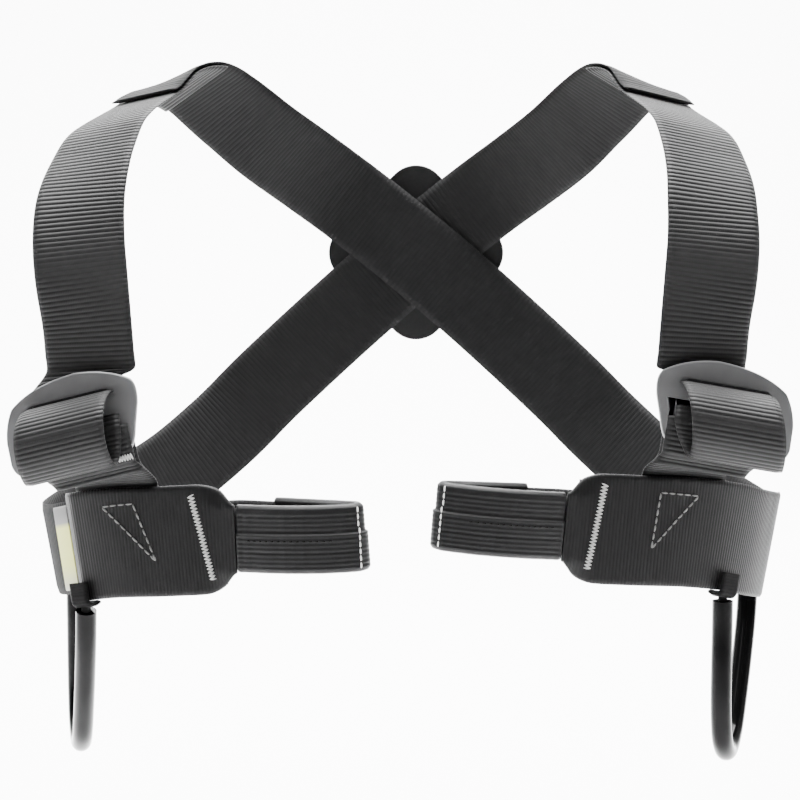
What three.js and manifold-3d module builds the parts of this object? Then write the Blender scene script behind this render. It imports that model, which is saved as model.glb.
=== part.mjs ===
// A climbing chest harness in the form it takes when it is worn. Millimetres, +Z up, front towards -Y.
// The origin is the point between the two shoulder crests, where the harness hangs on the wearer.
import * as THREE from "three";
import { mergeVertices } from "three/addons/utils/BufferGeometryUtils.js";
import Module from "manifold-3d";

const wasm = await Module();
wasm.setup();

// Driving dimensions of the worn form
const HALF_WIDTH = 190; // from the middle of the chest to the belt at the flank
const HALF_DEPTH = 100; // from the middle of the body to the chest or to the shoulder blades
const BELT_DROP = 250; // from the shoulder crest down to the middle of the belt at the flank
const BACK_SHIFT = 9; // how far the crossing on the back sits to one side

// Webbing
const WEB_WIDTH = 47;
const WEB_THICK = 1.8;
const CLEAR = 0.3; // between pieces that lie on each other
const LAYER = WEB_THICK + CLEAR;

// Back plate
const PLATE_REACH = 49; // from its centre to the tip of each rounded corner
const PLATE_CORNER = 17;
const PLATE_THICK = 2.6;

// Buckle
const BUCKLE_THICK = 3;
const BUCKLE_END = 11.4; // plate beside each end of the slots
const BUCKLE_ARCH = 12.5; // from the upper slot's middle to the top of the arch
const BUCKLE_FOOT = 34; // from the upper slot's middle to the lower edge
const BUCKLE_PITCH = 4; // degrees that its face turns up
const SLOT_HEIGHT = 5;
const SLOT_SPARE = 1.4; // what a slot is longer than the webbing is wide
const UPPER_BAR = 7; // height of the bar between the two slots
const LOWER_SLOT = 10;
const ROLL_DEPTH = 22; // how far the doubled-back webbing bulges forward
const ROLL_DROP = 36; // from the upper slot down to the bottom of the roll
const STRAP_INSET = 3; // how far the lower strap sits towards the middle of the chest
const STRAP_SWING = 34; // how hard its outer edge is drawn in below the plate
const BUCKLE_WIDTH = WEB_WIDTH + SLOT_SPARE + 2 * BUCKLE_END;

// Side patch, with the lower strap's end under it
const PATCH_HEIGHT = 55;
const PATCH_THICK = 2;
const PATCH_TONGUE = 34; // height of its front end, where the loop comes out
const ROOT_ALONG = 54.5; // from the belt's front end back to the middle of the lower strap
const ROOT_DEPTH = 42; // how far the lower strap reaches down under the patch

// Front attachment loop
const LOOP_WIDTH = 29.5;
const LOOP_REACH = 69; // from the belt's front end to the tip
const LOOP_GAP = 27; // between its legs
const LOOP_ROOT = 28; // sewn length along the belt
const SLEEVE_WALL = 1.5;
const SLEEVE_LAP = 0.8; // the step where the sleeve's edge laps over
const SLEEVE_START = 8; // from the belt's front end to the mouth of the sleeve

// Gear loop and its tabs
const TUBE_WIDTH = 10.6;
const TUBE_WALL = 1.5;
const CORD_WIDTH = 4.8;
const GEAR_DROP = 80; // from the upper ends of the tube to its lowest point
const GEAR_REAR = 163; // from the belt's front end back to the rear tab
const TAB_WIDTH = 14;
const TAB_THICK = 2.4;
const TAB_RISE = 12; // how far the tab's flap covers the belt
const KNOB_DROP = 2.4;
const KNOB_DEPTH = 9;
const TAB_SEAT = 0.9; // from the flat back of a flap to the curved belt or patch

// Label on one flank
const LABEL_LENGTH = 19;
const LABEL_HEIGHT = 43;
const LABEL_THICK = 0.7;

// What differs between the two sides as the photograph shows them. Rises are millimetres.
const SIDES = [
  {
    name: "left", sign: -1, beltRise: 0, chestOut: 2.2, buckleRise: 0, buckleOut: 1.4, buckleTilt: 14.7,
    buckleYaw: 12, rollLean: 0.13, loopRise: -3, patchLength: 86, gearFront: 81, gearLean: 1,
  },
  {
    name: "right", sign: 1, beltRise: 5.5, chestOut: -1.6, buckleRise: 6, buckleOut: -0.8, buckleTilt: 10.5,
    buckleYaw: 7, rollLean: 0.24, loopRise: 2, patchLength: 138, gearFront: 88, gearLean: -1,
  },
];

// Rows of x, y, z are shares of HALF_WIDTH, HALF_DEPTH and BELT_DROP. x is positive on the side where the
// strap starts. off is the share of BACK_SHIFT, rise the share of the side's beltRise, and ax, ay, az point
// across the strap, from its outer or lower edge to its inner or upper one.
const CREST = [
  { x: 0.694, y: -0.15, z: -0.08, off: 0.1, rise: 0, ax: 0.87, ay: -0.42, az: 0.25 },
  { x: 0.645, y: -0.02, z: -0.052, off: 0.3, rise: 0, ax: 0.86, ay: -0.38, az: 0.34 },
  { x: 0.585, y: 0.13, z: -0.058, off: 0.5, rise: 0, ax: 0.8, ay: -0.38, az: 0.47 },
];
const BACK = [
  { x: 0.505, y: 0.32, z: -0.108, off: 0.7, rise: 0, ax: 0.66, ay: -0.33, az: 0.67 },
  { x: 0.415, y: 0.5, z: -0.172, off: 0.9, rise: 0, ax: 0.58, ay: -0.25, az: 0.77 },
  { x: 0.31, y: 0.76, z: -0.238, off: 1, rise: 0, ax: 0.55, ay: -0.15, az: 0.82 },
  { x: 0.24, y: 0.9, z: -0.28, off: 1, rise: 0, ax: 0.56, ay: -0.05, az: 0.82 },
  { x: 0.18, y: 0.945, z: -0.315, off: 1, rise: 0, ax: 0.57, ay: 0, az: 0.82 },
  { x: 0, y: 0.95, z: -0.424, off: 1, rise: 0, ax: 0.61, ay: 0, az: 0.79 },
  { x: -0.19, y: 0.95, z: -0.548, off: 1, rise: 0, ax: 0.65, ay: 0, az: 0.76 },
  { x: -0.44, y: 0.88, z: -0.722, off: 1, rise: 0, ax: 0.68, ay: 0, az: 0.74 },
  { x: -0.557, y: 0.83, z: -0.81, off: 1, rise: 0, ax: 0.66, ay: 0, az: 0.75 },
  { x: -0.7, y: 0.68, z: -0.9, off: 0.9, rise: 0, ax: 0.56, ay: -0.1, az: 0.82 },
];
const BELT = [
  { x: -0.855, y: 0.42, z: -0.965, off: 0.8, rise: 0.1, ax: 0.4, ay: -0.12, az: 0.9 },
  { x: -0.96, y: 0.11, z: -1, off: 0.6, rise: 0.2, ax: 0.24, ay: 0, az: 0.97 },
  { x: -0.985, y: -0.16, z: -1.008, off: 0.5, rise: 0.4, ax: 0.19, ay: 0, az: 0.98 },
  { x: -0.94, y: -0.44, z: -0.996, off: 0.3, rise: 0.7, ax: 0.1, ay: 0, az: 0.99 },
  { x: -0.85, y: -0.67, z: -0.972, off: 0.1, rise: 1, ax: 0.03, ay: 0, az: 1 },
  { x: -0.74, y: -0.82, z: -0.953, off: 0, rise: 1, ax: 0, ay: 0, az: 1 },
  { x: -0.63, y: -0.91, z: -0.944, off: 0, rise: 1, ax: 0, ay: 0, az: 1 },
  { x: -0.52, y: -0.97, z: -0.936, off: 0, rise: 1, ax: 0, ay: 0, az: 1 },
  { x: -0.455, y: -0.995, z: -0.932, off: 0, rise: 1, ax: 0, ay: 0, az: 1 },
];
const CHEST = [
  { x: 0.775, y: -0.42, z: -0.13, off: 0, rise: 0, ax: 0.9, ay: -0.36, az: 0.24 },
  { x: 0.802, y: -0.58, z: -0.182, off: 0, rise: 0, ax: 0.92, ay: -0.3, az: 0.22 },
  { x: 0.815, y: -0.71, z: -0.232, off: 0, rise: 0, ax: 0.94, ay: -0.24, az: 0.18 },
  { x: 0.819, y: -0.8, z: -0.281, off: 0, rise: 0, ax: 0.955, ay: -0.2, az: 0.14 },
  { x: 0.818, y: -0.88, z: -0.35, off: 0, rise: 0, ax: 0.965, ay: -0.16, az: 0.1 },
  { x: 0.81, y: -0.92, z: -0.42, off: 0, rise: 0, ax: 0.965, ay: -0.15, az: 0.11 },
  { x: 0.796, y: -0.94, z: -0.51, off: 0, rise: 0, ax: 0.94, ay: -0.26, az: 0.14 },
  { x: 0.787, y: -0.945, z: -0.6, off: 0, rise: 0, ax: 0.93, ay: -0.27, az: 0.18 },
];
const BUCKLE_PLACE = { x: 0.842, y: -1, z: -0.66 };

// The loop beyond the belt's front end: ahead is the share of LOOP_REACH towards the tip, and back the share
// of LOOP_GAP towards the body.
const LOOP_ROWS = [
  { ahead: 0.12, back: -0.03 },
  { ahead: 0.3, back: -0.12 },
  { ahead: 0.5, back: -0.18 },
  { ahead: 0.72, back: -0.15 },
  { ahead: 0.9, back: -0.02 },
  { ahead: 0.975, back: 0.1 },
  { ahead: 0.97, back: 0.26 },
  { ahead: 0.88, back: 0.38 },
  { ahead: 0.7, back: 0.52 },
  { ahead: 0.48, back: 0.7 },
  { ahead: 0.24, back: 0.88 },
  { ahead: 0, back: 1 },
];

// Where the loop's inner leg comes back to the belt: along is the share of LOOP_ROOT back from the belt's
// front end, and off the share of LOOP_GAP inside the belt.
const LOOP_LANDING = [
  { along: 0.62, off: 0.72 },
  { along: 1.05, off: 0.4 },
  { along: 1.45, off: 0.18 },
  { along: 1.85, off: 0.1 },
  { along: 2.3, off: 0.09 },
];

// The patch's front end: along is millimetres ahead of the belt's front end, height the share of the way from
// PATCH_TONGUE to PATCH_HEIGHT, and curl how far its edges bend back, as a share of that height.
const PATCH_NOSE = [
  { along: -14, height: 1, curl: 0 },
  { along: -8, height: 0.97, curl: 0.02 },
  { along: -4, height: 0.86, curl: 0.06 },
  { along: 0, height: 0.64, curl: 0.12 },
  { along: 3.5, height: 0.3, curl: 0.12 },
  { along: 6, height: 0.06, curl: 0.03 },
  { along: 7.4, height: 0, curl: 0 },
];

const webbingBlack = { color: 0x2c2c2d, roughness: 0.8, metalness: 0 };
const darkBlack = { color: 0x1e1e1f, roughness: 0.85, metalness: 0 };
const plateGrey = { color: 0x77777a, roughness: 0.42, metalness: 0.15 };
const tubeBlack = { color: 0x0c0c0d, roughness: 0.12, metalness: 0 };
const labelCream = { color: 0xe3e3a6, roughness: 0.7, metalness: 0 };

const harness = new THREE.Group();

function addPiece(name, geometry, finish) {
  const piece = new THREE.Mesh(geometry, new THREE.MeshStandardMaterial(finish));
  piece.name = name;
  harness.add(piece);
  return piece;
}

const vector = (x, y, z) => new THREE.Vector3(x, y, z);

// A point moved by steps along directions: move(point, direction, amount, direction, amount, ...)
function move(point, ...steps) {
  const moved = point.clone();
  for (let i = 0; i < steps.length; i += 2) {
    moved.addScaledVector(steps[i], steps[i + 1]);
  }
  return moved;
}

// A station of a strap from a row of one of the tables
function stationOf(row, sign, beltRise) {
  const at = vector(
    sign * row.x * HALF_WIDTH + row.off * BACK_SHIFT,
    row.y * HALF_DEPTH,
    row.z * BELT_DROP + row.rise * beltRise,
  );
  return { at, across: vector(-sign * row.ax, row.ay, row.az).normalize() };
}

// Frames along a smooth route through the stations. handed is 1 or -1, so that out points off the body.
function framesThrough(stations, perSpan, handed) {
  const route = new THREE.CatmullRomCurve3(stations.map((s) => s.at), false, "centripetal");
  const sideways = new THREE.CatmullRomCurve3(stations.map((s) => s.across), false, "catmullrom");
  const count = (stations.length - 1) * perSpan;
  const frames = [];
  for (let i = 0; i <= count; i++) {
    const t = i / count;
    const along = route.getTangent(t);
    const across = sideways.getPoint(t);
    across.addScaledVector(along, -across.dot(along)).normalize();
    const out = along.clone().cross(across).multiplyScalar(handed).normalize();
    frames.push({ at: route.getPoint(t), along, across, out });
  }
  return frames;
}

// The same frames moved off the body by lift(i, frame) millimetres
function lifted(frames, lift) {
  return frames.map((f, i) => ({ ...f, at: move(f.at, f.out, lift(i, f)) }));
}

// The frame at a distance along a chain of frames, measured from its first one
function frameAt(frames, distance) {
  let passed = 0;
  for (let i = 1; i < frames.length; i++) {
    const a = frames[i - 1];
    const b = frames[i];
    const step = a.at.distanceTo(b.at);
    if (passed + step >= distance || i === frames.length - 1) {
      const k = (distance - passed) / step;
      return {
        at: a.at.clone().lerp(b.at, k),
        along: a.along.clone().lerp(b.along, k).normalize(),
        across: a.across.clone().lerp(b.across, k).normalize(),
        out: a.out.clone().lerp(b.out, k).normalize(),
      };
    }
    passed += step;
  }
}

// Rows of points across a strap
function stripOf(frames, width, columns) {
  return frames.map((f, i) => {
    const w = typeof width === "function" ? width(i, f) : width;
    return Array.from({ length: columns }, (_, j) => move(f.at, f.across, (j / (columns - 1) - 0.5) * w));
  });
}

function geometryFrom(points, triangles) {
  let volume = 0;
  for (const [a, b, c] of triangles) {
    volume += points[a].dot(points[b].clone().cross(points[c]));
  }
  const flat = triangles.flatMap(([a, b, c]) => (volume < 0 ? [a, c, b] : [a, b, c]));
  const geometry = new THREE.BufferGeometry();
  geometry.setAttribute(
    "position",
    new THREE.Float32BufferAttribute(points.flatMap((p) => [p.x, p.y, p.z]), 3),
  );
  geometry.setIndex(flat);
  geometry.computeVertexNormals();
  return geometry;
}

// A closed wall of the given thickness about a sheet of points, rows by columns
function wallOf(sheet, thickness) {
  const rows = sheet.length;
  const columns = sheet[0].length;
  const points = [];
  for (const side of [0.5, -0.5]) {
    for (let i = 0; i < rows; i++) {
      for (let j = 0; j < columns; j++) {
        const down = sheet[Math.min(i + 1, rows - 1)][j].clone().sub(sheet[Math.max(i - 1, 0)][j]);
        const over = sheet[i][Math.min(j + 1, columns - 1)].clone().sub(sheet[i][Math.max(j - 1, 0)]);
        points.push(move(sheet[i][j], down.cross(over).normalize(), side * thickness));
      }
    }
  }
  const layer = rows * columns;
  const at = (i, j) => i * columns + j;
  const triangles = [];
  const quad = (a, b, c, d) => triangles.push([a, b, c], [a, c, d]);
  for (let i = 0; i + 1 < rows; i++) {
    for (let j = 0; j + 1 < columns; j++) {
      quad(at(i, j), at(i + 1, j), at(i + 1, j + 1), at(i, j + 1));
      quad(layer + at(i, j), layer + at(i, j + 1), layer + at(i + 1, j + 1), layer + at(i + 1, j));
    }
    const last = columns - 1;
    quad(at(i, 0), layer + at(i, 0), layer + at(i + 1, 0), at(i + 1, 0));
    quad(at(i, last), at(i + 1, last), layer + at(i + 1, last), layer + at(i, last));
  }
  for (let j = 0; j + 1 < columns; j++) {
    const last = rows - 1;
    quad(at(0, j), at(0, j + 1), layer + at(0, j + 1), layer + at(0, j));
    quad(at(last, j), layer + at(last, j), layer + at(last, j + 1), at(last, j + 1));
  }
  return geometryFrom(points, triangles);
}

// A tube swept along frames between two rings of [across, out] places with as many corners each
function hollowSweep(frames, outer, inner) {
  const corners = outer.length;
  const points = [];
  for (const ring of [outer, inner]) {
    for (const f of frames) {
      points.push(...ring.map(([a, o]) => move(f.at, f.across, a, f.out, o)));
    }
  }
  const layer = frames.length * corners;
  const triangles = [];
  const quad = (a, b, c, d) => triangles.push([a, b, c], [a, c, d]);
  for (let k = 0; k < corners; k++) {
    const next = (k + 1) % corners;
    for (let i = 0; i + 1 < frames.length; i++) {
      const a = i * corners;
      const b = a + corners;
      quad(a + k, a + next, b + next, b + k);
      quad(layer + a + k, layer + b + k, layer + b + next, layer + a + next);
    }
    const end = (frames.length - 1) * corners;
    quad(k, layer + k, layer + next, next);
    quad(end + k, end + next, layer + end + next, layer + end + k);
  }
  return geometryFrom(points, triangles);
}

// The rows of a strap between two rows of points, leaving and arriving along the given directions
function passage(from, leave, to, arrive, steps, pull) {
  const rows = [];
  for (let i = 1; i < steps; i++) {
    const t = i / steps;
    const a = 2 * t ** 3 - 3 * t ** 2 + 1;
    const b = t ** 3 - 2 * t ** 2 + t;
    const c = 3 * t ** 2 - 2 * t ** 3;
    const d = t ** 3 - t ** 2;
    rows.push(
      from.map((p, j) =>
        p.clone().multiplyScalar(a)
          .addScaledVector(leave[j] ?? leave, b * pull)
          .addScaledVector(to[j], c)
          .addScaledVector(arrive[j] ?? arrive, d * pull),
      ),
    );
  }
  return rows;
}

function solidFrom(geometry) {
  const bare = geometry.clone();
  bare.deleteAttribute("normal");
  bare.deleteAttribute("uv");
  const merged = mergeVertices(bare, 1e-4);
  return new wasm.Manifold(
    new wasm.Mesh({
      numProp: 3,
      vertProperties: merged.attributes.position.array,
      triVerts: new Uint32Array(merged.index.array),
    }),
  );
}

function geometryOf(solid) {
  const mesh = solid.getMesh();
  const geometry = new THREE.BufferGeometry();
  geometry.setAttribute("position", new THREE.Float32BufferAttribute(mesh.vertProperties, 3));
  geometry.setIndex(new THREE.BufferAttribute(mesh.triVerts, 1));
  geometry.computeVertexNormals();
  return geometry;
}

// Back straps: from the cut end on one shoulder, across the back and round the other flank as the belt.
// The strap from the right shoulder lies over the other one where they cross.
const STRAP_COLUMNS = 4;
const spanCount = 3;
const LOOP_SPAN = 2;

function backStrapFrames(side, farSide) {
  const rows = [CHEST[0], ...CREST, ...BACK, ...BELT];
  const stations = rows.map((row) => stationOf(row, side.sign, farSide.beltRise));
  const frames = framesThrough(stations, spanCount, side.sign).slice(spanCount);
  const crestEnd = (CREST.length - 1) * spanCount;
  const settle = 2 * spanCount; // frames over which the strap comes down off the shoulder strap
  const beltStart = (CREST.length + BACK.length - 1) * spanCount;
  const over = side.sign > 0 ? LAYER + CLEAR : 0;
  return lifted(frames, (i) => {
    const shoulder = (LAYER + CLEAR) * (1 - THREE.MathUtils.smoothstep(i, crestEnd, crestEnd + settle));
    const crossing =
      over *
      THREE.MathUtils.smoothstep(i, crestEnd, crestEnd + settle) *
      (1 - THREE.MathUtils.smoothstep(i, beltStart - settle, beltStart));
    return shoulder + crossing;
  });
}

const [left, right] = SIDES;
left.strap = backStrapFrames(left, right);
right.strap = backStrapFrames(right, left);
left.belt = right.strap.toReversed();
right.belt = left.strap.toReversed();

// The belt's frame at a distance back from its front end, with along pointing ahead to that end
function beltAt(side, distance, lift, height = 0) {
  const f = frameAt(side.belt, distance);
  return { ...f, at: move(f.at, f.out, lift, f.across, height) };
}

// Back plate: a flat square stood on its corner, with rounded corners, outside the crossing straps
function backPlate() {
  const outline = new THREE.Shape();
  const inset = PLATE_REACH - PLATE_CORNER;
  for (let quarter = 0; quarter < 4; quarter++) {
    const middle = (quarter * Math.PI) / 2;
    const start = middle - Math.PI / 4;
    outline.absarc(
      inset * Math.cos(middle), inset * Math.sin(middle), PLATE_CORNER, start, start + Math.PI / 2, false,
    );
  }
  outline.closePath();
  const geometry = new THREE.ExtrudeGeometry(outline, {
    depth: PLATE_THICK, bevelEnabled: false, curveSegments: 6,
  });
  const crossing = stationOf(BACK[5], 1, 0).at;
  const piece = addPiece("back_plate", geometry, webbingBlack);
  piece.rotation.x = Math.PI / 2;
  const clearOfStraps = WEB_THICK / 2 + LAYER + 3 * CLEAR;
  piece.position.set(crossing.x, crossing.y + clearOfStraps + PLATE_THICK, crossing.z);
}

// The buckle's own frame: inner points along its slots to the middle of the chest, up and face
function buckleFrame(side) {
  const turn = new THREE.Matrix4()
    .makeRotationZ(THREE.MathUtils.degToRad(-side.buckleYaw))
    .multiply(new THREE.Matrix4().makeRotationY(THREE.MathUtils.degToRad(-side.buckleTilt)))
    .multiply(new THREE.Matrix4().makeRotationX(THREE.MathUtils.degToRad(-BUCKLE_PITCH)));
  const axis = (x, y, z) => vector(x, y, z).applyMatrix4(turn).multiply(vector(-side.sign, 1, 1));
  return {
    at: vector(
      side.sign * (BUCKLE_PLACE.x * HALF_WIDTH + side.buckleOut),
      BUCKLE_PLACE.y * HALF_DEPTH,
      BUCKLE_PLACE.z * BELT_DROP + side.buckleRise,
    ),
    inner: axis(1, 0, 0),
    up: axis(0, 0, 1),
    face: axis(0, -1, 0),
  };
}

// Heights in the buckle's frame, from the middle of the upper slot
const upperSlotFoot = -SLOT_HEIGHT / 2;
const lowerSlotTop = upperSlotFoot - UPPER_BAR;
const lowerSlotFoot = lowerSlotTop - LOWER_SLOT;
const onPlate = BUCKLE_THICK / 2 + CLEAR + WEB_THICK / 2; // webbing that lies on the plate

function buckle(side) {
  const frame = buckleFrame(side);
  const half = BUCKLE_WIDTH / 2;
  const outline = new THREE.Shape();
  outline.moveTo(-half * 0.86, BUCKLE_ARCH * 0.2);
  outline.quadraticCurveTo(-half * 0.5, BUCKLE_ARCH * 0.94, half * 0.15, BUCKLE_ARCH);
  outline.quadraticCurveTo(half * 0.6, BUCKLE_ARCH * 0.9, half * 0.91, BUCKLE_ARCH * 0.3);
  outline.quadraticCurveTo(half, BUCKLE_ARCH * 0.02, half * 0.94, -BUCKLE_FOOT * 0.26);
  outline.lineTo(half * 0.83, -BUCKLE_FOOT * 0.6);
  outline.quadraticCurveTo(half * 0.74, -BUCKLE_FOOT * 0.97, half * 0.5, -BUCKLE_FOOT);
  outline.lineTo(-half * 0.84, -BUCKLE_FOOT * 0.93);
  outline.quadraticCurveTo(-half * 1.02, -BUCKLE_FOOT * 0.92, -half * 1.05, -BUCKLE_FOOT * 0.72);
  outline.lineTo(-half * 1.04, -BUCKLE_FOOT * 0.4);
  outline.quadraticCurveTo(-half, -BUCKLE_FOOT * 0.12, -half * 0.86, BUCKLE_ARCH * 0.2);
  const slotHalf = (WEB_WIDTH + SLOT_SPARE) / 2;
  for (const [top, foot, middle] of [
    [SLOT_HEIGHT / 2, upperSlotFoot, 0],
    [lowerSlotTop, lowerSlotFoot, STRAP_INSET / 2],
  ]) {
    const reach = slotHalf + Math.abs(middle);
    const slot = new THREE.Path();
    slot.moveTo(middle - reach, foot);
    slot.lineTo(middle + reach, foot);
    slot.lineTo(middle + reach, top);
    slot.lineTo(middle - reach, top);
    slot.closePath();
    outline.holes.push(slot);
  }
  const geometry = new THREE.ExtrudeGeometry(outline, {
    depth: BUCKLE_THICK, bevelEnabled: false, curveSegments: 5,
  });
  const place = geometry.getAttribute("position");
  for (let i = 0; i < place.count; i++) {
    const p = move(
      frame.at, frame.inner, place.getX(i), frame.up, place.getY(i),
      frame.face, place.getZ(i) - BUCKLE_THICK / 2,
    );
    place.setXYZ(i, p.x, p.y, p.z);
  }
  const merged = geometry.clone();
  merged.deleteAttribute("normal");
  merged.deleteAttribute("uv");
  const shared = mergeVertices(merged, 1e-4);
  const points = [];
  for (let i = 0; i < shared.attributes.position.count; i++) {
    points.push(new THREE.Vector3().fromBufferAttribute(shared.attributes.position, i));
  }
  const triangles = [];
  for (let i = 0; i < shared.index.count; i += 3) {
    triangles.push([shared.index.getX(i), shared.index.getX(i + 1), shared.index.getX(i + 2)]);
  }
  addPiece("buckle_" + side.name, geometryFrom(points, triangles), plateGrey);
}

// Rows of points across a strap that runs through the buckle, from [up, face] places in its frame. A third
// value in a place moves its row along inner.
function buckleRows(frame, places, middle) {
  return places.map(([up, face, drift]) =>
    Array.from({ length: STRAP_COLUMNS }, (_, j) => {
      const inner = middle + (drift ?? 0) + (j / (STRAP_COLUMNS - 1) - 0.5) * WEB_WIDTH;
      return move(frame.at, frame.inner, inner, frame.up, up, frame.face, face);
    }),
  );
}

// Shoulder strap: from the crest down the chest, through the upper slot, forward over the bars as a roll and
// back through the lower slot
function shoulderStrap(side) {
  const stations = [BACK[0], ...CREST.toReversed(), ...CHEST].map((row) => stationOf(row, side.sign, 0));
  stations.slice(-CHEST.length).forEach(({ at }, i) => {
    at.x += side.sign * side.chestOut * Math.min(1, i / 3);
  });
  const frames = framesThrough(stations, spanCount, -side.sign).slice(spanCount);
  const chest = stripOf(frames, WEB_WIDTH, STRAP_COLUMNS);
  const frame = buckleFrame(side);
  const returning = onPlate + LAYER; // the roll comes back in front of the lower strap's folded end
  const lean = -side.rollLean * ROLL_DROP; // the roll hangs down plumber than its slanted slot
  const places = [
    [SLOT_HEIGHT * 0.9, -onPlate * 1.07],
    [SLOT_HEIGHT * 0.24, -onPlate * 1.07],
    [-SLOT_HEIGHT * 0.05, -onPlate * 0.58],
    [-SLOT_HEIGHT * 0.12, 0],
    [-SLOT_HEIGHT * 0.12, onPlate * 0.7],
    [-SLOT_HEIGHT * 0.1, ROLL_DEPTH * 0.24],
    [-ROLL_DROP * 0.06, ROLL_DEPTH * 0.47, lean * 0.06],
    [-ROLL_DROP * 0.17, ROLL_DEPTH * 0.76, lean * 0.17],
    [-ROLL_DROP * 0.33, ROLL_DEPTH * 0.95, lean * 0.33],
    [-ROLL_DROP * 0.53, ROLL_DEPTH, lean * 0.53],
    [-ROLL_DROP * 0.73, ROLL_DEPTH * 0.93, lean * 0.73],
    [-ROLL_DROP * 0.9, ROLL_DEPTH * 0.73, lean * 0.9],
    [-ROLL_DROP * 0.985, ROLL_DEPTH * 0.5, lean],
    [-ROLL_DROP * 0.96, ROLL_DEPTH * 0.32, lean * 0.9],
    [-ROLL_DROP * 0.88, returning + 0.5, lean * 0.7],
    [-ROLL_DROP * 0.72, returning, lean * 0.3],
    [lowerSlotFoot + 0.5, returning],
    [lowerSlotTop - LOWER_SLOT * 0.52, returning * 0.72],
    [lowerSlotTop - LOWER_SLOT * 0.28, onPlate * 0.6],
    [lowerSlotTop - LOWER_SLOT * 0.24, 0],
    [lowerSlotTop - LOWER_SLOT * 0.22, -onPlate * 0.68],
    [lowerSlotTop - LOWER_SLOT * 0.11, -onPlate * 1.1],
    [lowerSlotTop + UPPER_BAR * 0.2, -onPlate * 1.1],
    [lowerSlotTop + UPPER_BAR * 0.7, -onPlate * 1.1],
  ];
  const buckled = buckleRows(frame, places, 0);
  const last = chest.length - 1;
  const leave = chest[last].map((p, j) => p.clone().sub(chest[last - 1][j]).normalize());
  const arrive = move(vector(0, 0, 0), frame.up, -0.9, frame.face, 0.4);
  const between = passage(chest[last], leave, buckled[0], arrive, 4, 8);
  const strap = wallOf([...chest, ...between, ...buckled], WEB_THICK);
  addPiece("shoulder_strap_" + side.name, strap, webbingBlack);
}

// Lower strap: a folded end round the lower bar of the buckle, then down under the side patch
function lowerStrap(side) {
  const frame = buckleFrame(side);
  const barTop = lowerSlotFoot + onPlate * 0.74;
  const foot = -BUCKLE_FOOT;
  const places = [
    [foot - 7.8, -onPlate + LAYER, 3],
    [foot - 6, -onPlate + LAYER * 1.2, 2],
    [foot - 4.2, onPlate * 0.1, 1],
    [foot - 2.2, onPlate * 0.85],
    [foot + 2, onPlate],
    [barTop - onPlate * 1.07, onPlate * 1.07],
    [barTop - onPlate * 0.4, onPlate * 0.93],
    [barTop - onPlate * 0.07, onPlate * 0.45],
    [barTop, 0],
    [barTop - onPlate * 0.07, -onPlate * 0.45],
    [barTop - onPlate * 0.4, -onPlate * 0.93],
    [barTop - onPlate * 1.07, -onPlate * 1.07],
    [foot + 4, -onPlate],
    [foot - 2, -onPlate - 0.4],
  ];
  const looped = buckleRows(frame, places, STRAP_INSET);
  const onBelt = (height) =>
    Array.from({ length: STRAP_COLUMNS * 2 - 1 }, (_, j) => {
      const back = ROOT_ALONG - (j / (STRAP_COLUMNS * 2 - 2) - 0.5) * WEB_WIDTH;
      return beltAt(side, back, LAYER, height).at;
    });
  const top = PATCH_HEIGHT / 2 + 1;
  const root = [0, 0.25, 0.5, 0.75, 1].map((t) => onBelt(top - t * ROOT_DEPTH));
  const widen = (row) =>
    Array.from({ length: STRAP_COLUMNS * 2 - 1 }, (_, j) =>
      j % 2 ? row[(j - 1) / 2].clone().lerp(row[(j + 1) / 2], 0.5) : row[j / 2].clone());
  const above = looped.map(widen);
  const last = above.length - 1;
  const leave = above[last].map((_, j) =>
    move(
      new THREE.Vector3(), frame.up, -15, frame.face, -5,
      frame.inner, STRAP_SWING * (1 - j / (above[last].length - 1)),
    ));
  const arrive = root[0].map((p, j) => root[1][j].clone().sub(p).normalize().multiplyScalar(12));
  const between = passage(above[last], leave, root[0], arrive, 5, 1);
  addPiece("lower_strap_" + side.name, wallOf([...above, ...between, ...root], WEB_THICK), webbingBlack);
}

// The way of the loop on each side: over the belt's outer face, round the tip and back behind the belt
function loopFrames(side) {
  const end = beltAt(side, 0, LAYER);
  const root = [1, 0.55, 0.15].map((k) => beltAt(side, k * LOOP_ROOT, LAYER));
  const free = LOOP_ROWS.map((row) => ({
    at: move(
      end.at, end.along, row.ahead * LOOP_REACH, end.out, -row.back * LOOP_GAP,
      end.across, Math.max(0, row.ahead) * side.loopRise,
    ),
    across: end.across,
  }));
  const behind = LOOP_LANDING.map((row) => beltAt(side, row.along * LOOP_ROOT, -row.off * LOOP_GAP));
  return framesThrough([...root, ...free, ...behind], LOOP_SPAN, -side.sign);
}

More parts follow.
